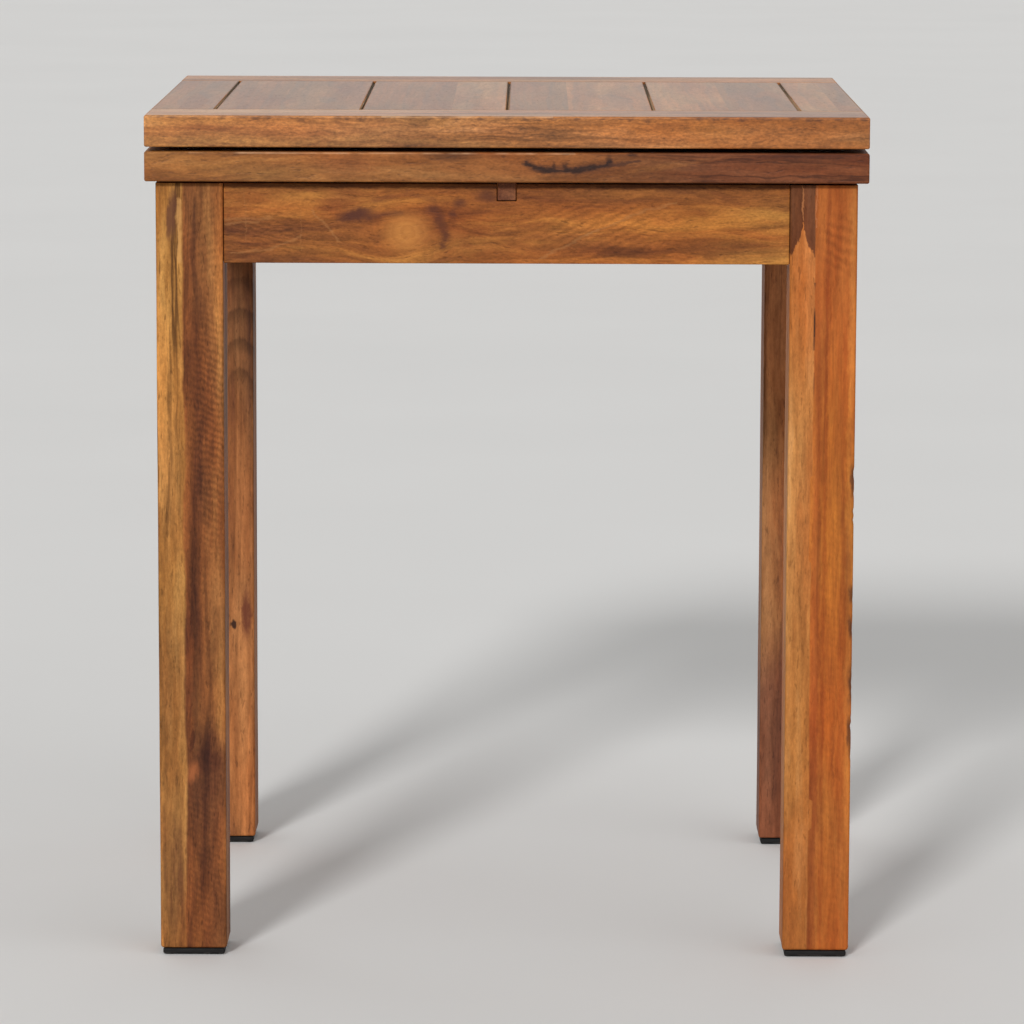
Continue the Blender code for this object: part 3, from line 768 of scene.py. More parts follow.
def turned(profile, sides):
    """A profile of (radius, height) points turned about Z, closed at both ends."""
    angles = [math.tau * i / sides for i in range(sides)]
    return loft([[Vector((r * math.cos(t), r * math.sin(t), h)) for t in angles] for r, h in profile])


def fillet(corners, steps=3):
    """An outline of (a, b, radius) corners, with an arc at each that has a radius."""
    outline = []
    for index, (a, b, radius) in enumerate(corners):
        here = Vector((a, b))
        if not radius:
            outline.append(here)
            continue
        before = (Vector(corners[index - 1][:2]) - here).normalized()
        after = (Vector(corners[(index + 1) % len(corners)][:2]) - here).normalized()
        half = before.angle(after) / 2
        start = here + before * (radius / math.tan(half))
        end = here + after * (radius / math.tan(half))
        centre = here + (before + after).normalized() * (radius / math.sin(half))
        for step in range(steps + 1):
            spoke = start.lerp(end, step / steps) - centre
            outline.append(centre + spoke.normalized() * radius)
    return outline


def scene_object(name, data):
    obj = bpy.data.objects.new(name, data)
    bpy.context.scene.collection.objects.link(obj)
    return obj


def mesh_object(name, shape):
    """A mesh object from a shape that it uses up."""
    mesh = bpy.data.meshes.new(name)
    shape.to_mesh(mesh)
    shape.free()
    return scene_object(name, mesh)


def carve(shape, boxes):
    """Cuts boxes, given by two corners each, out of a shape."""
    target = mesh_object("spare", shape)
    cutters = [mesh_object("spare", block(Vector(low), Vector(high))) for low, high in boxes]
    for cutter in cutters:
        configure(target.modifiers.new("cut", "BOOLEAN"), operation="DIFFERENCE", object=cutter)
    result = bmesh.new()
    result.from_object(target, bpy.context.evaluated_depsgraph_get())
    for obj in (target, *cutters):
        mesh = obj.data
        bpy.data.objects.remove(obj)
        bpy.data.meshes.remove(mesh)
    return result


def placed(shape, point, up):
    """Turns a shape's Z to a direction and moves its origin to a point."""
    turn = Vector(up).to_track_quat("Z", "Y").to_matrix().to_4x4()
    bmesh.ops.transform(shape, matrix=Matrix.Translation(point) @ turn, verts=shape.verts)
    return shape


def screw(point, up, head, shank, length, recess):
    """A cross-head screw with its head at a point, facing up; its other sizes are millimetres."""
    head = [metres(step) for step in head]
    shank, length, width, reach, depth = metres((shank, length, *recess))
    top, bottom = head[0][1], head[-1][1]
    profile = [*head, (shank, bottom), (shank, bottom - length), (shank * 0.2, bottom - length * 1.1)]
    arms = ((reach, width), (width, reach))
    cross = [((-a, -b, top - depth), (a, b, top + depth)) for a, b in arms]
    return placed(carve(turned(profile, 24), cross), point, up)


def piece(name, shape, body, material):
    """A new piece that rides on a body."""
    bmesh.ops.recalc_face_normals(shape, faces=shape.faces)
    obj = mesh_object(name, shape)
    obj.data.shade_smooth()
    obj.data.materials.append(material)
    configure(obj.modifiers.new("even shading", "WEIGHTED_NORMAL"), weight=LARGE_FACE_WEIGHT)
    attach(obj, body)
    return obj


def stand_in(node, shape, material):
    """A piece that stands for a CAD node and rides on the node's body."""
    obj = piece(f"{node}_shaped", shape, frame["nodes"][node]["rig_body"], material)
    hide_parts(node)


def wooden(node, shape, corners, grain, staves, slot="frame_wood", **looks):
    """A stand-in with a timber of its own between two corners."""
    stand_in(node, shape, timber(node, *corners, grain, staves, **looks))


# Timber palettes, as dark, middle and light

FIGURE = figure_group()
HONEY = Stave(tint(106, 58, 31), tint(150, 89, 41), tint(180, 117, 54), grit=1.0)
GOLD = Stave(tint(108, 64, 30), tint(164, 108, 50), tint(202, 142, 74))
UMBER = Stave(tint(90, 49, 28), tint(138, 82, 42), tint(172, 112, 60))
SALMON = Stave(tint(158, 92, 42), tint(186, 117, 58), tint(208, 144, 86))
ORANGE = Stave(tint(132, 62, 26), tint(170, 88, 34), tint(194, 112, 48))
RUSSET = Stave(tint(100, 55, 30), tint(150, 94, 48), tint(178, 122, 70))
PEACH = Stave(tint(124, 74, 38), tint(170, 112, 60), tint(196, 138, 88))
TEAK = Stave(tint(126, 80, 46), tint(144, 95, 55), tint(160, 110, 66),
             grit=0.9, fibre=0.6, pores=0.22, heart=0.2)
AMBER = replace(TEAK, dark=tint(142, 92, 52), middle=tint(164, 111, 64), light=tint(182, 130, 80))
CINNAMON = Stave(tint(96, 55, 36), tint(144, 90, 51), tint(174, 116, 70))
COCOA = Stave(tint(66, 37, 27), tint(104, 60, 40), tint(128, 78, 50))
SMOKE = tint(72, 42, 30)
BARK = tint(44, 25, 19)
# Pale colour of painted highlights along the top front edges of the leaves
PAINTED_EDGE_HIGHLIGHT = tint(212, 172, 134)
DUST = tint(150, 128, 102)
WARM = (1.05, 0.94, 0.85, 1.0)
COOL = (0.97, 1.03, 1.05, 1.0)

# Settings of the lacquer: inner timber, lower leaf, upper leaf
RAW = {"roughness": 0.6, "shine": 0.15}
SATIN = {"roughness": 0.46, "shine": 0.2, "bump": 0.3}
POLISH = {"roughness": 0.32, "shine": 0.4, "bump": 0.04}


# Base: each leg's staves, joints and marks


def front_left_leg():
    """Golden sapwood on the left, rippled heartwood on the right."""
    gold = (
        patch(tint(98, 58, 40), (671, -296.8), (22, 4.2, 20), 0.85, 0.45, -4),
        tinge((0.70, 0.64, 0.58), (560, -294), (60, 3, 20)),
        tinge((0.78, 0.74, 0.72), (140, -303), (150, 3.5, 20)),
        tinge((0.75, 0.74, 0.86), (250, -303), (70, 50, 50)),
        tinge((0.86, 0.89, 1.00), (420, -303), (60, 50, 50)),
        tinge((1.10, 1.14, 1.45), (80, -303), (80, 50, 50)),
        stroke(tint(206, 150, 88), ((684, -290), (630, -289.4)), 1.8, 0.65, 0.9),
    )
    umber = (
        tinge((1.42, 1.45, 1.30), (600, -254.5), (85, 4.5, 20)),
        waves((1000, 420, 0), (485, -264), (105, 16, 50), 0.20),
        waves((850, -300, 0), (645, -266), (50, 15, 50), 0.10),
        tinge((1.28, 1.08, 0.92), (245, -283.8), (85, 3.6, 20)),
        tinge((0.72, 0.70, 0.76), (432, -269), (26, 6.5, 20)),
        tinge((0.66, 0.62, 0.66), (335, -280), (60, 2.4, 20)),
        tinge((1.22, 1.24, 1.16), (235, -254.5), (50, 5, 20)),
        waves((1000, 520, 0), (85, -268), (85, 18, 50), 0.10),
        tinge((0.68, 0.62, 0.68), (190, -262.5), (17, 10.5, 20), 1, 0.40, 10),
        tinge((0.74, 0.68, 0.74), (178, -269.5), (12, 12, 20), 1, 0.35, 40),
        tinge((0.74, 0.68, 0.74), (165, -260), (22, 7, 20), 1, 0.45, -16),
        tinge((0.56, 0.50, 0.56), (198, -281.5), (11, 2.2, 20), 1, 0.25),
        patch(tint(180, 102, 54), (168, -281.2), (8, 4.4, 20), 0.75, 0.8, -20),
        tinge((0.82, 0.76, 0.80), (70, -264), (80, 9, 20)),
        tinge((0.87, 0.87, 0.90), (555, -266), (70, 50, 50)),
        tinge((0.77, 0.80, 0.88), (325, -266), (65, 50, 50)),
        tinge((0.85, 0.88, 1.05), (150, -266), (40, 50, 50)),
    )
    staves = [
        replace(GOLD, seed=3.1, heart=0.8, waver=0.011, curl=0.8, grit=0.8, marks=gold),
        replace(UMBER, seed=7.7, heart=0.45, waver=0.012, curl=0.9, grit=0.9, ripple=0.05, marks=umber),
    ]
    return staves, [Joint(-0.2872, -0.0010, 0.010, soft=0.0016)], ()


def front_right_leg():
    """Salmon stave on the left under a dark flame, orange stave on the right, a crack between."""
    salmon = (
        tinge((0.87, 0.76, 0.67), (610, 262), (60, 20, 50)),
        tinge((1.08, 1.14, 1.22), (440, 262), (90, 20, 50)),
        flame((0.20, 0.16, 0.25), (671, 262.2), 0.26),
        stroke(tint(176, 112, 66), ((699, 262.2), (668, 262.2)), 0.6, 0.7),
        tinge((0.93, 0.92, 0.86), (100, 262), (200, 20, 50)),
        tinge((1.16, 1.28, 1.42), (375, 262), (75, 50, 50)),
        tinge((0.78, 0.74, 0.73), (60, 262), (80, 50, 50)),
    )
    orange = (
        tinge((0.70, 0.58, 0.66), (260, 277.2), (320, 4.2, 50), 1, 0.6),
        stroke(tint(206, 132, 80), ((699, 274.5), (662, 274.7)), 0.7, 0.55),
        tinge((0.88, 0.78, 0.80), (620, 292), (140, 30, 50)),
        tinge((0.84, 0.74, 0.76), (400, 284.5), (400, 1.6, 30)),
        tinge((1.08, 1.16, 1.08), (380, 293), (140, 12, 30)),
        tinge((1.12, 1.14, 1.10), (360, 289.5), (360, 2.6, 30)),
        tinge((0.88, 0.80, 0.80), (250, 301.5), (340, 2.2, 30)),
        tinge((1.16, 1.36, 1.45), (440, 308.2), (300, 4, 20), 1, 0.5),
        waves((700, 260, 0), (648, 294), (26, 14, 50), 0.14),
        tinge((0.80, 0.74, 0.78), (270, 308.5), (70, 6, 20)),
        tinge((0.74, 0.70, 0.76), (185, 295), (30, 1.2, 20)),
        tinge((1.12, 1.25, 1.16), (400, 292), (110, 60, 50)),
        tinge((0.86, 0.92, 0.96), (90, 292), (90, 60, 50)),
        tinge((0.88, 0.89, 0.92), (665, 292), (40, 60, 50)),
    )
    staves = [
        replace(SALMON, seed=11.3, heart=0.25, waver=0.008, rings=0.15, marks=salmon),
        replace(ORANGE, seed=14.9, heart=0.25, waver=0.006, rings=0.18, fibre=0.6, pores=0.16,
                ripple=0.03, marks=orange),
    ]
    steps = ((0.36, 0.44, -0.0022), (0.116, 0.146, 0.0030))
    lips = ((435, 12), (332, 8), (302, 9), (249, 16), (203, 18))
    marks = [
        stroke(SMOKE, ((612, 273.6), (596, 273.4), (578, 273.7), (553, 273.4)), 0.8, 0.8, ragged=False),
        stroke(BARK, ((590, 273.5), (565, 273.6)), 0.6, 0.85, ragged=False),
        stroke(SMOKE, ((532, 273.7), (505, 273.8)), 0.5, 0.7, ragged=False),
        *(patch(SMOKE, (u, 309.6), (long, 2.6, 5), 0.75) for u, long in lips),
    ]
    return staves, [Joint(0.2733, 0.0, 0.005, steps, 0.0007)], marks


def rear_left_leg():
    """Arches high up and a knot low down."""
    stave = replace(CINNAMON, seed=18.2, pith=(0.1, 0.0, -0.03), heart=0.2, waver=0.010)
    return [stave], [], [
        # Painted shade: the leg's top, under the apron, is darker
        tinge((0.62, 0.60, 0.66), (620, -266), (130, 50, 50)),
        arches((420, -264), (0.35, 1, 0.4), 10.5, (515, -264), (60, 30, 50), 0.40),
        tinge((1.22, 1.16, 1.08), (100, -262), (140, 30, 50)),
        patch(tint(92, 40, 30), (231, -259.2), (24, 4.4, 10), 0.85, 0.6),
        patch(BARK, (221.4, -272.4), (4.2, 3.4, 10), 0.95, 0.35),
    ]


def rear_right_leg():
    """Two staves with pale slanted streaks, dark at the foot."""
    staves = [replace(CINNAMON, seed=22.6, heart=0.35), replace(CINNAMON, seed=25.4)]
    slanted = [((top - 70, 268), (top, 256)) for top in (360, 290, 220, 520)]
    return staves, [Joint(0.285, 0.004, 0.006)], [
        *(stroke(tint(168, 112, 66), points, 1.6, 0.4, 0.9) for points in slanted),
        tinge((0.55, 0.48, 0.66), (60, 270), (140, 50, 50), 1, 0.3),
        tinge((1.16, 1.02, 1.06), (560, 262), (100, 30, 50)),
    ]


LEGS = {
    "front_left": front_left_leg(),
    "front_right": front_right_leg(),
    "rear_left": rear_left_leg(),
    "rear_right": rear_right_leg(),
}


def make_legs():
    for corner, (staves, joints, marks) in LEGS.items():
        node = f"{corner}_leg"
        low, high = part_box(node)
        shape = bar(low, high, Z, LEG_EASE, LEG_SPACING, ends=LEG_ENDS)
        wobble(shape, *LEG_PLANING, staves[0].seed)
        if corner == "front_right":
            nibble(shape, high.x, low.y, 4.7)
        wooden(node, shape, (low, high), GRAIN_Z, staves, joints=joints, marks=marks)


def make_feet():
    material = pad_material()
    for corner in LEGS:
        node = f"{corner}_foot"
        stand_in(node, bar(*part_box(node), Z, FOOT_EASE, FOOT_SPACING), material)


def notched_outline(low, high, relief=None):
    """The front view of a rail with the runner's notch in its top edge, as (z, x) points.

    With relief, a width and a depth, both ends are lowered too.
    """
    runner_low, runner_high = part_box("runner")
    notch_half = runner_high.x + SLIDE_FIT
    half = [(runner_low.z - SLIDE_FIT, notch_half), (high.z, notch_half)]
    end = high.z
    if relief:
        width, depth = relief
        end -= depth
        half += [(high.z, high.x - width), (end, high.x - width)]
    half += [(end, high.x), (low.z, high.x)]
    return half + [(z, -x) for z, x in reversed(half)]


APRON_EYE = (-88.3, 656.3)


def front_apron_marks():
    """Pale ripples on the left, a smear and a branch eye, and golden streaks on the right."""
    scar = tint(84, 46, 34)
    pale = tint(178, 122, 72)
    blots = (
        (-66, 676.5, 6, 3.4, -15), (-60, 667.5, 4.4, 8, -12), (-55, 654.5, 3.6, 7.2, -8),
        (-48, 672, 3, 3.6, 20), (-57.2, 644, 2.6, 3, 0),
    )
    lines = (
        ((-249, 662.5), (-220, 665)), ((-249, 667), (-208, 669)),
        ((-245, 637), (-210, 640), (-183, 652)), ((-172, 675), (-148, 648)),
        ((29, 633), (82, 660)), ((70, 654), (124, 677), (150, 682)),
    )
    return [
        tinge((0.85, 0.80, 0.86), (-225, 660), (40, 30, 50)),
        waves((300, 1500, 0), (-212, 657), (42, 20, 50), 0.15),
        tinge((0.97, 0.90, 0.88), (-100, 654), (60, 24, 50)),
        tinge((0.72, 0.64, 0.74), (-150, 682), (16, 10, 30), turn=-25),
        patch(scar, (-134, 671.5), (15, 5, 20), 0.95, 0.6, -8),
        stroke(scar, ((-122, 669), (-108, 672.5), (-94, 673.5)), 2.2, 0.5, 0.9),
        eye(tint(198, 130, 64), tint(150, 88, 40), APRON_EYE, 16, 6.2, 0.75),
        stroke(scar, ((-118, 684), (-88, 690.5), (-64, 685)), 2, 0.3, 0.9),
        *(patch(scar, (u, v), (long, tall, 20), 0.7, 0.85, turn) for u, v, long, tall, turn in blots),
        patch(scar, (-42.3, 682.2), (5.5, 3.8, 20), 0.75, 0.8),
        patch(scar, (-17.5, 688.5), (8.5, 5, 20), 0.7, 0.8),
        tinge((0.80, 0.74, 0.80), (-55, 662), (20, 24, 50)),
        tinge((0.80, 0.74, 0.78), (-24, 657), (6, 4.5, 30)),
        tinge((0.82, 0.76, 0.80), (-35, 646.5), (5, 5, 30)),
        tinge((0.92, 0.89, 0.89), (-5, 660), (40, 40, 50)),
        tinge((1.06, 1.02, 0.98), (45, 656), (45, 22, 50)),
        waves((-420, 950, 0), (85, 660), (55, 24, 50), 0.16),
        tinge((1.0, 1.05, 1.02), (195, 670), (75, 18, 50)),
        tinge((0.60, 0.62, 0.72), (105, 639.5), (22, 5.5, 30)),
        tinge((0.62, 0.66, 0.76), (195, 643), (40, 7, 30)),
        tinge((0.66, 0.62, 0.66), (235, 662), (14, 1.6, 30)),
        stroke(pale, ((-232, 690), (-231, 648)), 0.4, 0.18),
        stroke(pale, ((-183, 676), (-182, 640)), 0.4, 0.16),
        *(stroke(pale, points, 1, 0.32, 0.95) for points in lines),
        # Painted shadow: a dark band along the apron's top, under the lower leaf's overhang
        tinge((0.50, 0.46, 0.50), (0, 701.5), (2000, 6.2, 50), 1, 0.25),
    ]


def make_end_aprons():
    inner_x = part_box("front_right_leg")[0].x - FIT
    swirled = replace(HONEY, waver=0.022, curl=1.1, heart=0.3, pith=(0.05, 0.02, 0.06), ring=0.0055)
    details = {"front": (31.4, front_apron_marks(), [(APRON_EYE, 45, 0.55)]), "rear": (37.9, [], [])}
    for end, (seed, marks, knots) in details.items():
        node = f"{end}_apron"
        low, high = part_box(node)
        low.x, high.x = -inner_x, inner_x
        shape = ease_edges(prism(notched_outline(low, high), Y, low, high), APRON_EASE)
        stave = replace(swirled, seed=seed)
        wooden(node, shape, (low, high), GRAIN_X, [stave], marks=marks, knots=knots)


def make_side_aprons():
    """Side aprons, each with the clips' groove along its inside."""
    inner_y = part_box("rear_left_leg")[0].y - FIT
    for (side, sx), seed in zip(SIDES, (41.2, 45.8)):
        node = f"{side}_apron"
        low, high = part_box(node)
        low.y, high.y = -inner_y, inner_y
        inner, outer = (high.x, low.x) if sx < 0 else (low.x, high.x)
        deep = inner + sx * CLIP_GROOVE_DEPTH
        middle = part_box(f"rear_{side}_clip")[0].z + CLIP_THICK / 2
        top, bottom = middle + CLIP_GROOVE_HALF, middle - CLIP_GROOVE_HALF
        outline = [(low.z, outer), (high.z, outer), (high.z, inner), (top, inner), (top, deep)]
        outline += [(bottom, deep), (bottom, inner), (low.z, inner)]
        shape = ease_edges(prism(outline, Y, low, high), INNER_EASE, steps=2)
        stave = replace(HONEY, seed=seed, waver=0.022)
        wooden(node, shape, (low, high), GRAIN_Y_UPRIGHT, [stave])


def brace_outline(node, sx, sy):
    """A corner brace from above, read from its solid: its ends lie along both aprons."""
    points = [v.co for v in frame["nodes"][node].data.vertices]
    wall_x = max(sx * p.x for p in points)
    wall_y = max(sy * p.y for p in points)
    at_x = [sy * p.y for p in points if sx * p.x > wall_x - FIT / 10]
    at_y = [sx * p.x for p in points if sy * p.y > wall_y - FIT / 10]
    corners = [(wall_x, min(at_x)), (wall_x, max(at_x)), (max(at_y), wall_y), (min(at_y), wall_y)]
    return [(sx * x, sy * y) for x, y in corners]


def make_bearer_and_braces():
    low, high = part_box("centre_bearer")
    high.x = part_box("right_apron")[0].x - FIT
    low.x = -high.x
    shape = prism(notched_outline(low, high, BEARER_RELIEF), Y, low, high)
    ease_edges(shape, INNER_EASE, steps=2)
    stave = replace(UMBER, seed=52.3, waver=0.02)
    wooden("centre_bearer", shape, (low, high), GRAIN_X, [stave], **RAW)
    for side, sx in SIDES:
        for end, sy in ENDS:
            node = f"{end}_{side}_brace"
            low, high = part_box(node)
            shape = prism(brace_outline(node, sx, sy), Z, low, high)
            ease_edges(shape, INNER_EASE, steps=2)
            stave = replace(HONEY, seed=55.0 + 2 * sx + sy)
            wooden(node, shape, (low, high), GRAIN_X, [stave], **RAW)


# Leaves


def board_outline(low, high, first, last):
    """A board's section as (z, x) points: eased outside, grooved where it meets the next."""
    sides = []
    for outside, edge, inward in ((first, low.x, 1), (last, high.x, -1)):
        if outside:
            side = [(high.z, edge, TOP_EASE), (low.z, edge, TOP_EASE)]
        else:
            wall, touch = edge + inward * GROOVE_HALF, edge + inward * FIT / 2
            upper, lower = high.z - GROOVE_DEPTH, low.z + GROOVE_DEPTH
            side = [(high.z, wall, BOARD_EASE), (upper, wall, 0), (upper, touch, 0)]
            side += [(lower, touch, 0), (lower, wall, 0), (low.z, wall, BOARD_EASE)]
        sides.append(side)
    return fillet(sides[0] + list(reversed(sides[1])))


def hinge_seats(kind):
    """The boxes that both hinges' plates and barrels take out of a rear rail."""
    boxes = []
    room = Vector((FIT, FIT, FIT))
    for side, _ in SIDES:
        low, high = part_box(f"{side}_hinge_{kind}_plate")
        pin_low, pin_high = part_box(f"{side}_hinge_pin")
        axis = (pin_low + pin_high) / 2
        plate = (low.z, axis.z) if kind == "fixed" else (axis.z, high.z)
        barrel = (axis.z - BARREL_ROOM, axis.z + BARREL_ROOM)
        for start, (bottom, top) in ((low.y, plate), (axis.y - BARREL_ROOM, barrel)):
            near, far = Vector((low.x, start, bottom)), Vector((high.x, high.y + BARREL_ROOM, top))
            boxes.append((near - room, far + room))
    return boxes


def lower_rail_marks():
    """A dark bark flaw to the right of the middle, with redder heartwood beyond it."""
    flaw = (18, 719.6), (24, 715), (34, 712), (48, 712.8), (60, 712), (73, 714.8), (86, 716.5), (91, 720.5)
    knots = (
        (20, 718.5, 4.5, 2), (34, 712.2, 8.5, 2.6), (42, 716.5, 1.6, 3), (52, 715, 2.2, 4),
        (62, 712, 7, 2.4), (75, 716, 3, 2.2), (90.5, 720.5, 2.4, 5.5), (110.5, 726.8, 4, 1.4),
    )
    return [
        tinge((0.66, 0.55, 0.49), (30, 715), (120, 50, 200), soft=0.5),
        tinge((0.48, 0.37, 0.47), (265, 715), (160, 60, 200), soft=0.5),
        tinge((1.30, 1.40, 1.25), (150, 718), (40, 2.2, 20), turn=-9),
        tinge((0.84, 0.76, 0.80), (-141, 716.5), (24, 9, 30)),
        tinge((0.60, 0.64, 0.84), (-50, 724.5), (16, 3.5, 20)),
        tinge((0.76, 0.70, 0.70), (55, 714), (48, 7.5, 30)),
        tinge((0.98, 1.12, 1.15), (-260, 715), (60, 40, 200)),
        stroke(SMOKE, flaw, 3, 0.75, 0.9),
        stroke(BARK, flaw, 1.3, 0.85, 0.7),
        *(patch(BARK, (u, v), (long, tall, 10), 0.75, 0.7) for u, v, long, tall in knots),
        stroke(SMOKE, ((91, 718), (105, 718.5), (118, 721.2)), 1.3, 0.8, 0.8),
        # Painted highlight along the rail's top front edge
        stroke(PAINTED_EDGE_HIGHLIGHT, ((-280, 727.1), (60, 727.1)), 0.6, 0.55, 0.95, ragged=False),
    ]


def upper_rail_marks():
    """A redder middle between golden edges, with dark flecks along the top edge."""
    flecks = [(-305 + 16.7 * i + 6 * math.sin(5 * i), 758.3 - 0.5 * (i % 3)) for i in range(38)]
    return [
        tinge((1.16, 1.18, 1.14), (-240, 746), (130, 40, 100)),
        tinge((1.04, 0.95, 1.0), (-160, 747), (150, 7, 30)),
        tinge((0.82, 0.76, 0.72), (-40, 741), (50, 5, 50)),
        arches((-100, 735), (0.075, 1, 0.4), 3.6, (20, 746), (45, 12, 50), 0.35),
        tinge((0.94, 0.86, 0.76), (145, 747), (90, 40, 100)),
        tinge((0.76, 0.74, 0.74), (85, 734.5), (70, 7, 100)),
        tinge((0.70, 0.64, 0.60), (265, 746), (85, 40, 100)),
        tinge((1.10, 1.16, 1.20), (-290, 746), (50, 40, 100)),
        tinge((1.12, 1.16, 1.26), (-116, 746), (45, 40, 100)),
        tinge((0.87, 0.86, 0.78), (40, 746), (50, 40, 100)),
        tinge((1.02, 0.96, 0.80), (230, 746), (90, 40, 100)),
        *(patch(SMOKE, fleck, (3.6, 0.9, 3), 0.55, 0.8) for fleck in flecks),
        # Painted highlight along the rail's top front edge
        stroke(PAINTED_EDGE_HIGHLIGHT, ((-110, 759.4), (40, 759.4)), 0.6, 0.55, 0.95, ragged=False),
    ]


def make_leaf(leaf, palettes, rail_stave, rail_marks, seed, finish):
    """Six boards between two rails; finish has the lacquer's settings."""
    front_low, front_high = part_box(f"{leaf}_front_rail")
    inner_y = front_high.y
    starts = [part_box(f"{leaf}_board_{i + 1}")[0].x - FIT / 2 for i in range(1, BOARD_COUNT)]
    bounds = [front_low.x, *starts, front_high.x]
    for index, (left, right) in enumerate(zip(bounds, bounds[1:])):
        node = f"{leaf}_board_{index + 1}"
        low = Vector((left, inner_y + FIT, front_low.z))
        high = Vector((right, -inner_y - FIT, front_high.z))
        outer = (index == 0, index == BOARD_COUNT - 1)
        own_seed = seed + 5.3 * index
        stave = replace(palettes[index], seed=own_seed)
        other = replace(palettes[(index + 2) % BOARD_COUNT], seed=own_seed + 2.1)
        joints = [Joint(left + (right - left) * (0.42 + 0.1 * (index % 3)))]
        shape = prism(board_outline(low, high, *outer), Y, low, high)
        looks = {"joints": joints, "grooves": outer, **finish}
        wooden(node, shape, (low, high), GRAIN_Y, [stave, other], "top_wood", **looks)
    for end, inner in (("front", inner_y), ("rear", -inner_y)):
        node = f"{leaf}_{end}_rail"
        low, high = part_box(node)

        def outside(a, b):
            return max(abs(a.y - inner), abs(b.y - inner)) > FIT

        shape = ease_edges(block(low, high), TOP_EASE, outside, steps=4)
        if end == "rear":
            shape = carve(shape, hinge_seats("fixed" if leaf == "lower_leaf" else "turning"))
        stave = replace(rail_stave, seed=seed + 40.0 + inner, pith=(0.02, 0.01, 0.05))
        marks = rail_marks if end == "front" else []
        wooden(node, shape, (low, high), GRAIN_X, [stave], "top_wood", marks=marks, **finish)


# Sliding gear and metal


def make_sliding_gear(zinc, felt):
    """The runner with its screws, the glide strips and the bumpers."""
    low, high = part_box("runner")
    shape = bar(low, high, Y, RUNNER_EASE, RUNNER_SPACING, 3, 1)
    wooden("runner", shape, (low, high), GRAIN_Y, [replace(COCOA, seed=61.7)])
    for index, y in enumerate(RUNNER_SCREW_PLACES, start=1):
        shape = screw(Vector((0.0, y, low.z - SCREW_PROUD)), (0, 0, -1), *RUNNER_SCREW)
        piece(f"runner_screw_{index}", shape, "sliding_top", zinc)
    for side, _ in SIDES:
        node = f"{side}_glide_strip"
        shape = bar(*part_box(node), Y, FELT_EASE, STRIP_SPACING, 2, 4)
        stand_in(node, wobble(shape, *STRIP_FUZZ, 71.0), felt)
        node = f"{side}_bumper"
        low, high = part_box(node)
        radius, half = (high.x - low.x) / 2, (high.z - low.z) / 2
        profile = [(radius * r, half * h) for r, h in ((0.3, 1), (0.86, 1), (0.97, 0.75), (1, 0.3))]
        profile += [(r, -h) for r, h in reversed(profile)]
        shape = placed(turned(profile, 32), (low + high) / 2, (0, 0, 1))
        stand_in(node, wobble(shape, *BUMPER_FUZZ, 5.0), felt)


def make_clips(zinc):
    """Bent steel clips under the lower leaf, each held by a round-headed screw."""
    tight, wide, tiny = CLIP_THICK / 2, CLIP_THICK * 1.5, CLIP_THICK / 5
    for side, sx in SIDES:
        for end, _ in ENDS:
            node = f"{end}_{side}_clip"
            low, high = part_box(node)
            tail, tip = (low.x, high.x) if sx > 0 else (high.x, low.x)
            web = tail + sx * CLIP_FLANGE
            back = web - sx * CLIP_THICK
            under, over = high.z - CLIP_THICK, low.z + CLIP_THICK
            corners = [(high.z, tail, tiny), (high.z, web, wide), (over, web, tight), (over, tip, tiny)]
            corners += [(low.z, tip, tiny), (low.z, back, wide), (under, back, tight), (under, tail, tiny)]
            shape = prism(fillet(corners, 5), Y, low, high)
            stand_in(node, shape, zinc)
            seat = Vector((tail + sx * CLIP_FLANGE * 0.45, (low.y + high.y) / 2, under))
            piece(f"{node}_screw", screw(seat, (0, 0, -1), *CLIP_SCREW), "sliding_top", zinc)


def make_hinge_screws(brass):
    """Countersunk brass screws, whose heads lie flush with the hinge plates."""
    for side, _ in SIDES:
        for kind, up in (("fixed", 1), ("turning", -1)):
            for index in (1, 2):
                node = f"{side}_hinge_{kind}_screw_{index}"
                low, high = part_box(node)
                face = (low + high) / 2
                face.z = high.z if up > 0 else low.z
                stand_in(node, screw(face, (0, 0, up), *HINGE_SCREW), brass)


def finish_metal(zinc, brass):
    """Softens the edges of the hinge plates, pins and bolts and gives them their metal."""
    for name, obj in frame["nodes"].items():
        if not name.endswith(("_plate", "_pin", "_bolt")):
            continue
        obj.data.materials.clear()
        obj.data.materials.append(zinc if name.endswith("_bolt") else brass)
        configure(obj.modifiers.new("weld", "WELD"), merge_threshold=WELD_REACH)
        soften = obj.modifiers.new("soften", "BEVEL")
        configure(soften, width=METAL_EASE, segments=2, limit_method="ANGLE", angle_limit=METAL_SHARP)
        obj.modifiers.new("even shading", "WEIGHTED_NORMAL")


# Studio

FLOOR_BOUNCE = tint(176, 175, 173)
FLOOR_RADIUS = 60.0
FLOOR_DROP = 0.0004
SKY_LIGHT = tint(170, 170, 170)
SKY_SEEN = tint(222, 222, 221)

# Lamps: name, strength, spread in degrees and direction
LAMPS = (
    ("key", 2.1, 10.0, (0.32, 1.0, -0.52)),
    ("fill", 0.45, 60.0, (-0.8, 0.7, -0.5)),
    ("back", 0.5, 80.0, (0.3, -1.0, -0.5)),
)


def seen_directly(tree):
    """1 for rays from the camera and for what gloss and glass show, 0 for scattered light."""
    path = add("LightPath", tree=tree).outputs
    seen = number("MAXIMUM", path["Is Camera Ray"], path["Is Glossy Ray"])
    return number("MAXIMUM", seen, path["Is Transmission Ray"])


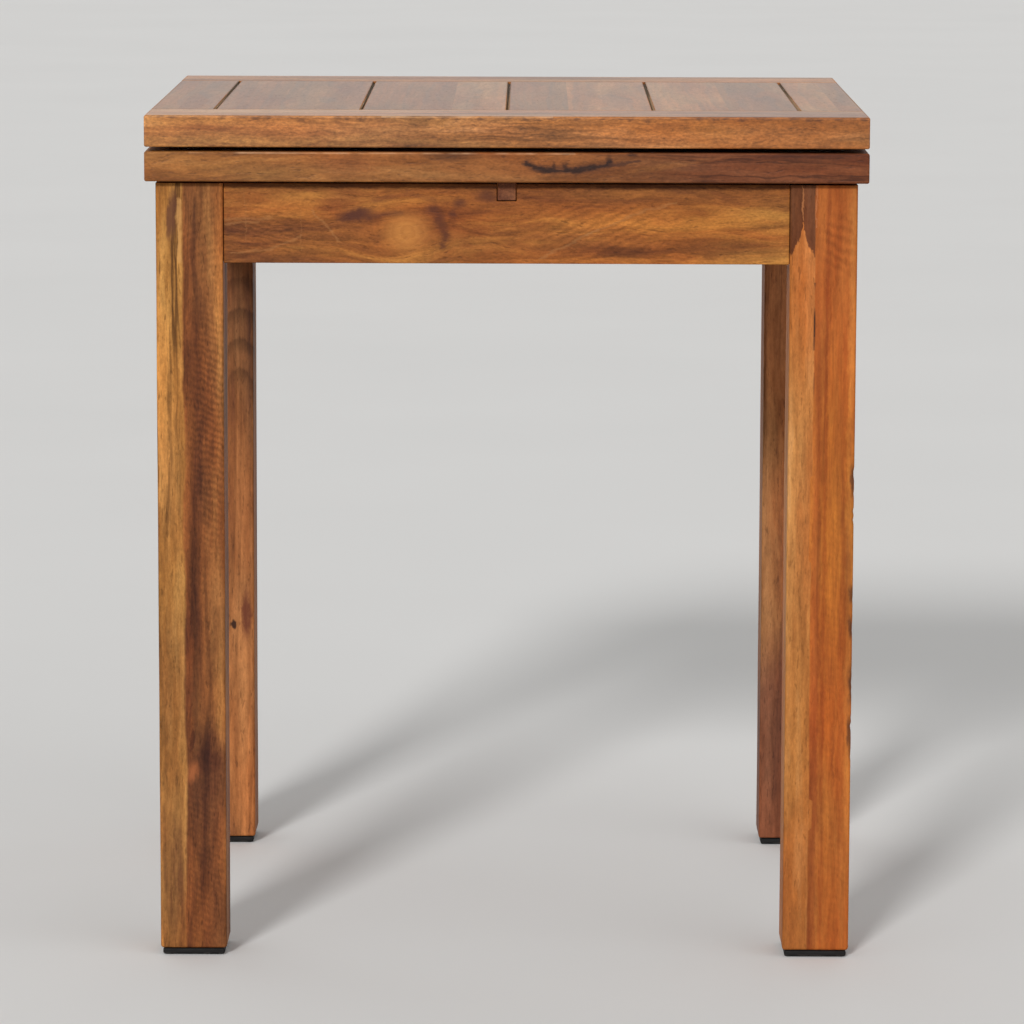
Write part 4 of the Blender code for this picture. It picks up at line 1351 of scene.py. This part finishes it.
def make_floor():
    """A wide pale floor, see-through from below so that the underside can be looked at."""
    shape = bmesh.new()
    bmesh.ops.create_circle(shape, cap_ends=True, segments=96, radius=FLOOR_RADIUS)
    floor = mesh_object("floor", shape)
    floor.location.z = -FLOOR_DROP
    material, place = new_material("pale floor")
    tree = material.node_tree
    cloud = streaks(place, (1.3, 1.3, 1.3), 3)
    pale = mix(cloud, tint(221, 220, 218), tint(227, 226, 224))
    shade(mix(seen_directly(tree), FLOOR_BOUNCE, pale), 0.8, specular=0.2)
    behind = add("NewGeometry", tree=tree).outputs["Backfacing"]
    clear = add("BsdfTransparent", tree=tree).outputs[0]
    shader = add("MixShader", behind, tree.nodes["Principled BSDF"].outputs[0], clear)
    feed(tree.nodes["Material Output"].inputs["Surface"], shader.outputs[0])
    floor.data.materials.append(material)


def make_light():
    """An even pale world with a soft key from the front left and weak light from right and back."""
    world = bpy.data.worlds.new("studio")
    bpy.context.scene.world = world
    world.use_nodes = True
    tree = world.node_tree
    feed(tree.nodes["Background"].inputs["Color"], mix(seen_directly(tree), SKY_LIGHT, SKY_SEEN))
    for name, strength, spread, direction in LAMPS:
        data = configure(bpy.data.lights.new(name, "SUN"), energy=strength, angle=math.radians(spread))
        lamp = configure(scene_object(name, data), rotation_mode="QUATERNION")
        lamp.rotation_quaternion = Vector(direction).to_track_quat("-Z", "Y")
        lamp.visible_glossy = name != "back"


def make_camera():
    data = configure(bpy.data.cameras.new("camera"), lens=CAMERA_LENS, sensor_width=CAMERA_SENSOR)
    camera = scene_object("camera", data)
    pitch = Matrix.Rotation(math.pi / 2 - CAMERA_PITCH, 4, "X")
    yaw, roll = (Matrix.Rotation(angle, 4, "Z") for angle in (CAMERA_YAW, CAMERA_ROLL))
    camera.matrix_world = Matrix.Translation(CAMERA_PLACE) @ yaw @ pitch @ roll
    bpy.context.scene.camera = camera


def main():
    zinc = metal_material("zinc steel", tint(190, 190, 186), tint(150, 150, 148), 0.34, (900, 60, 900))
    brass = metal_material("brass", tint(182, 138, 80), tint(132, 96, 54), 0.45, (60, 900, 900))
    felt = felt_material()
    make_legs()
    make_feet()
    make_end_aprons()
    make_side_aprons()
    make_bearer_and_braces()
    lower = [GOLD, HONEY, RUSSET, HONEY, UMBER, HONEY]
    lower_rail = replace(RUSSET, waver=0.018, curl=0.8, grit=1.0)
    make_leaf("lower_leaf", lower, lower_rail, lower_rail_marks(), 81.0, SATIN)
    upper = [TEAK, TEAK, TEAK, TEAK, AMBER, AMBER]
    upper_rail = replace(PEACH, waver=0.018, curl=1.0, fibre=1.05, grit=1.3)
    make_leaf("upper_leaf", upper, upper_rail, upper_rail_marks(), 143.0, POLISH)
    make_sliding_gear(zinc, felt)
    make_clips(zinc)
    make_hinge_screws(brass)
    finish_metal(zinc, brass)
    make_floor()
    make_light()
    make_camera()
    bpy.context.scene.view_settings.view_transform = "Standard"


main()
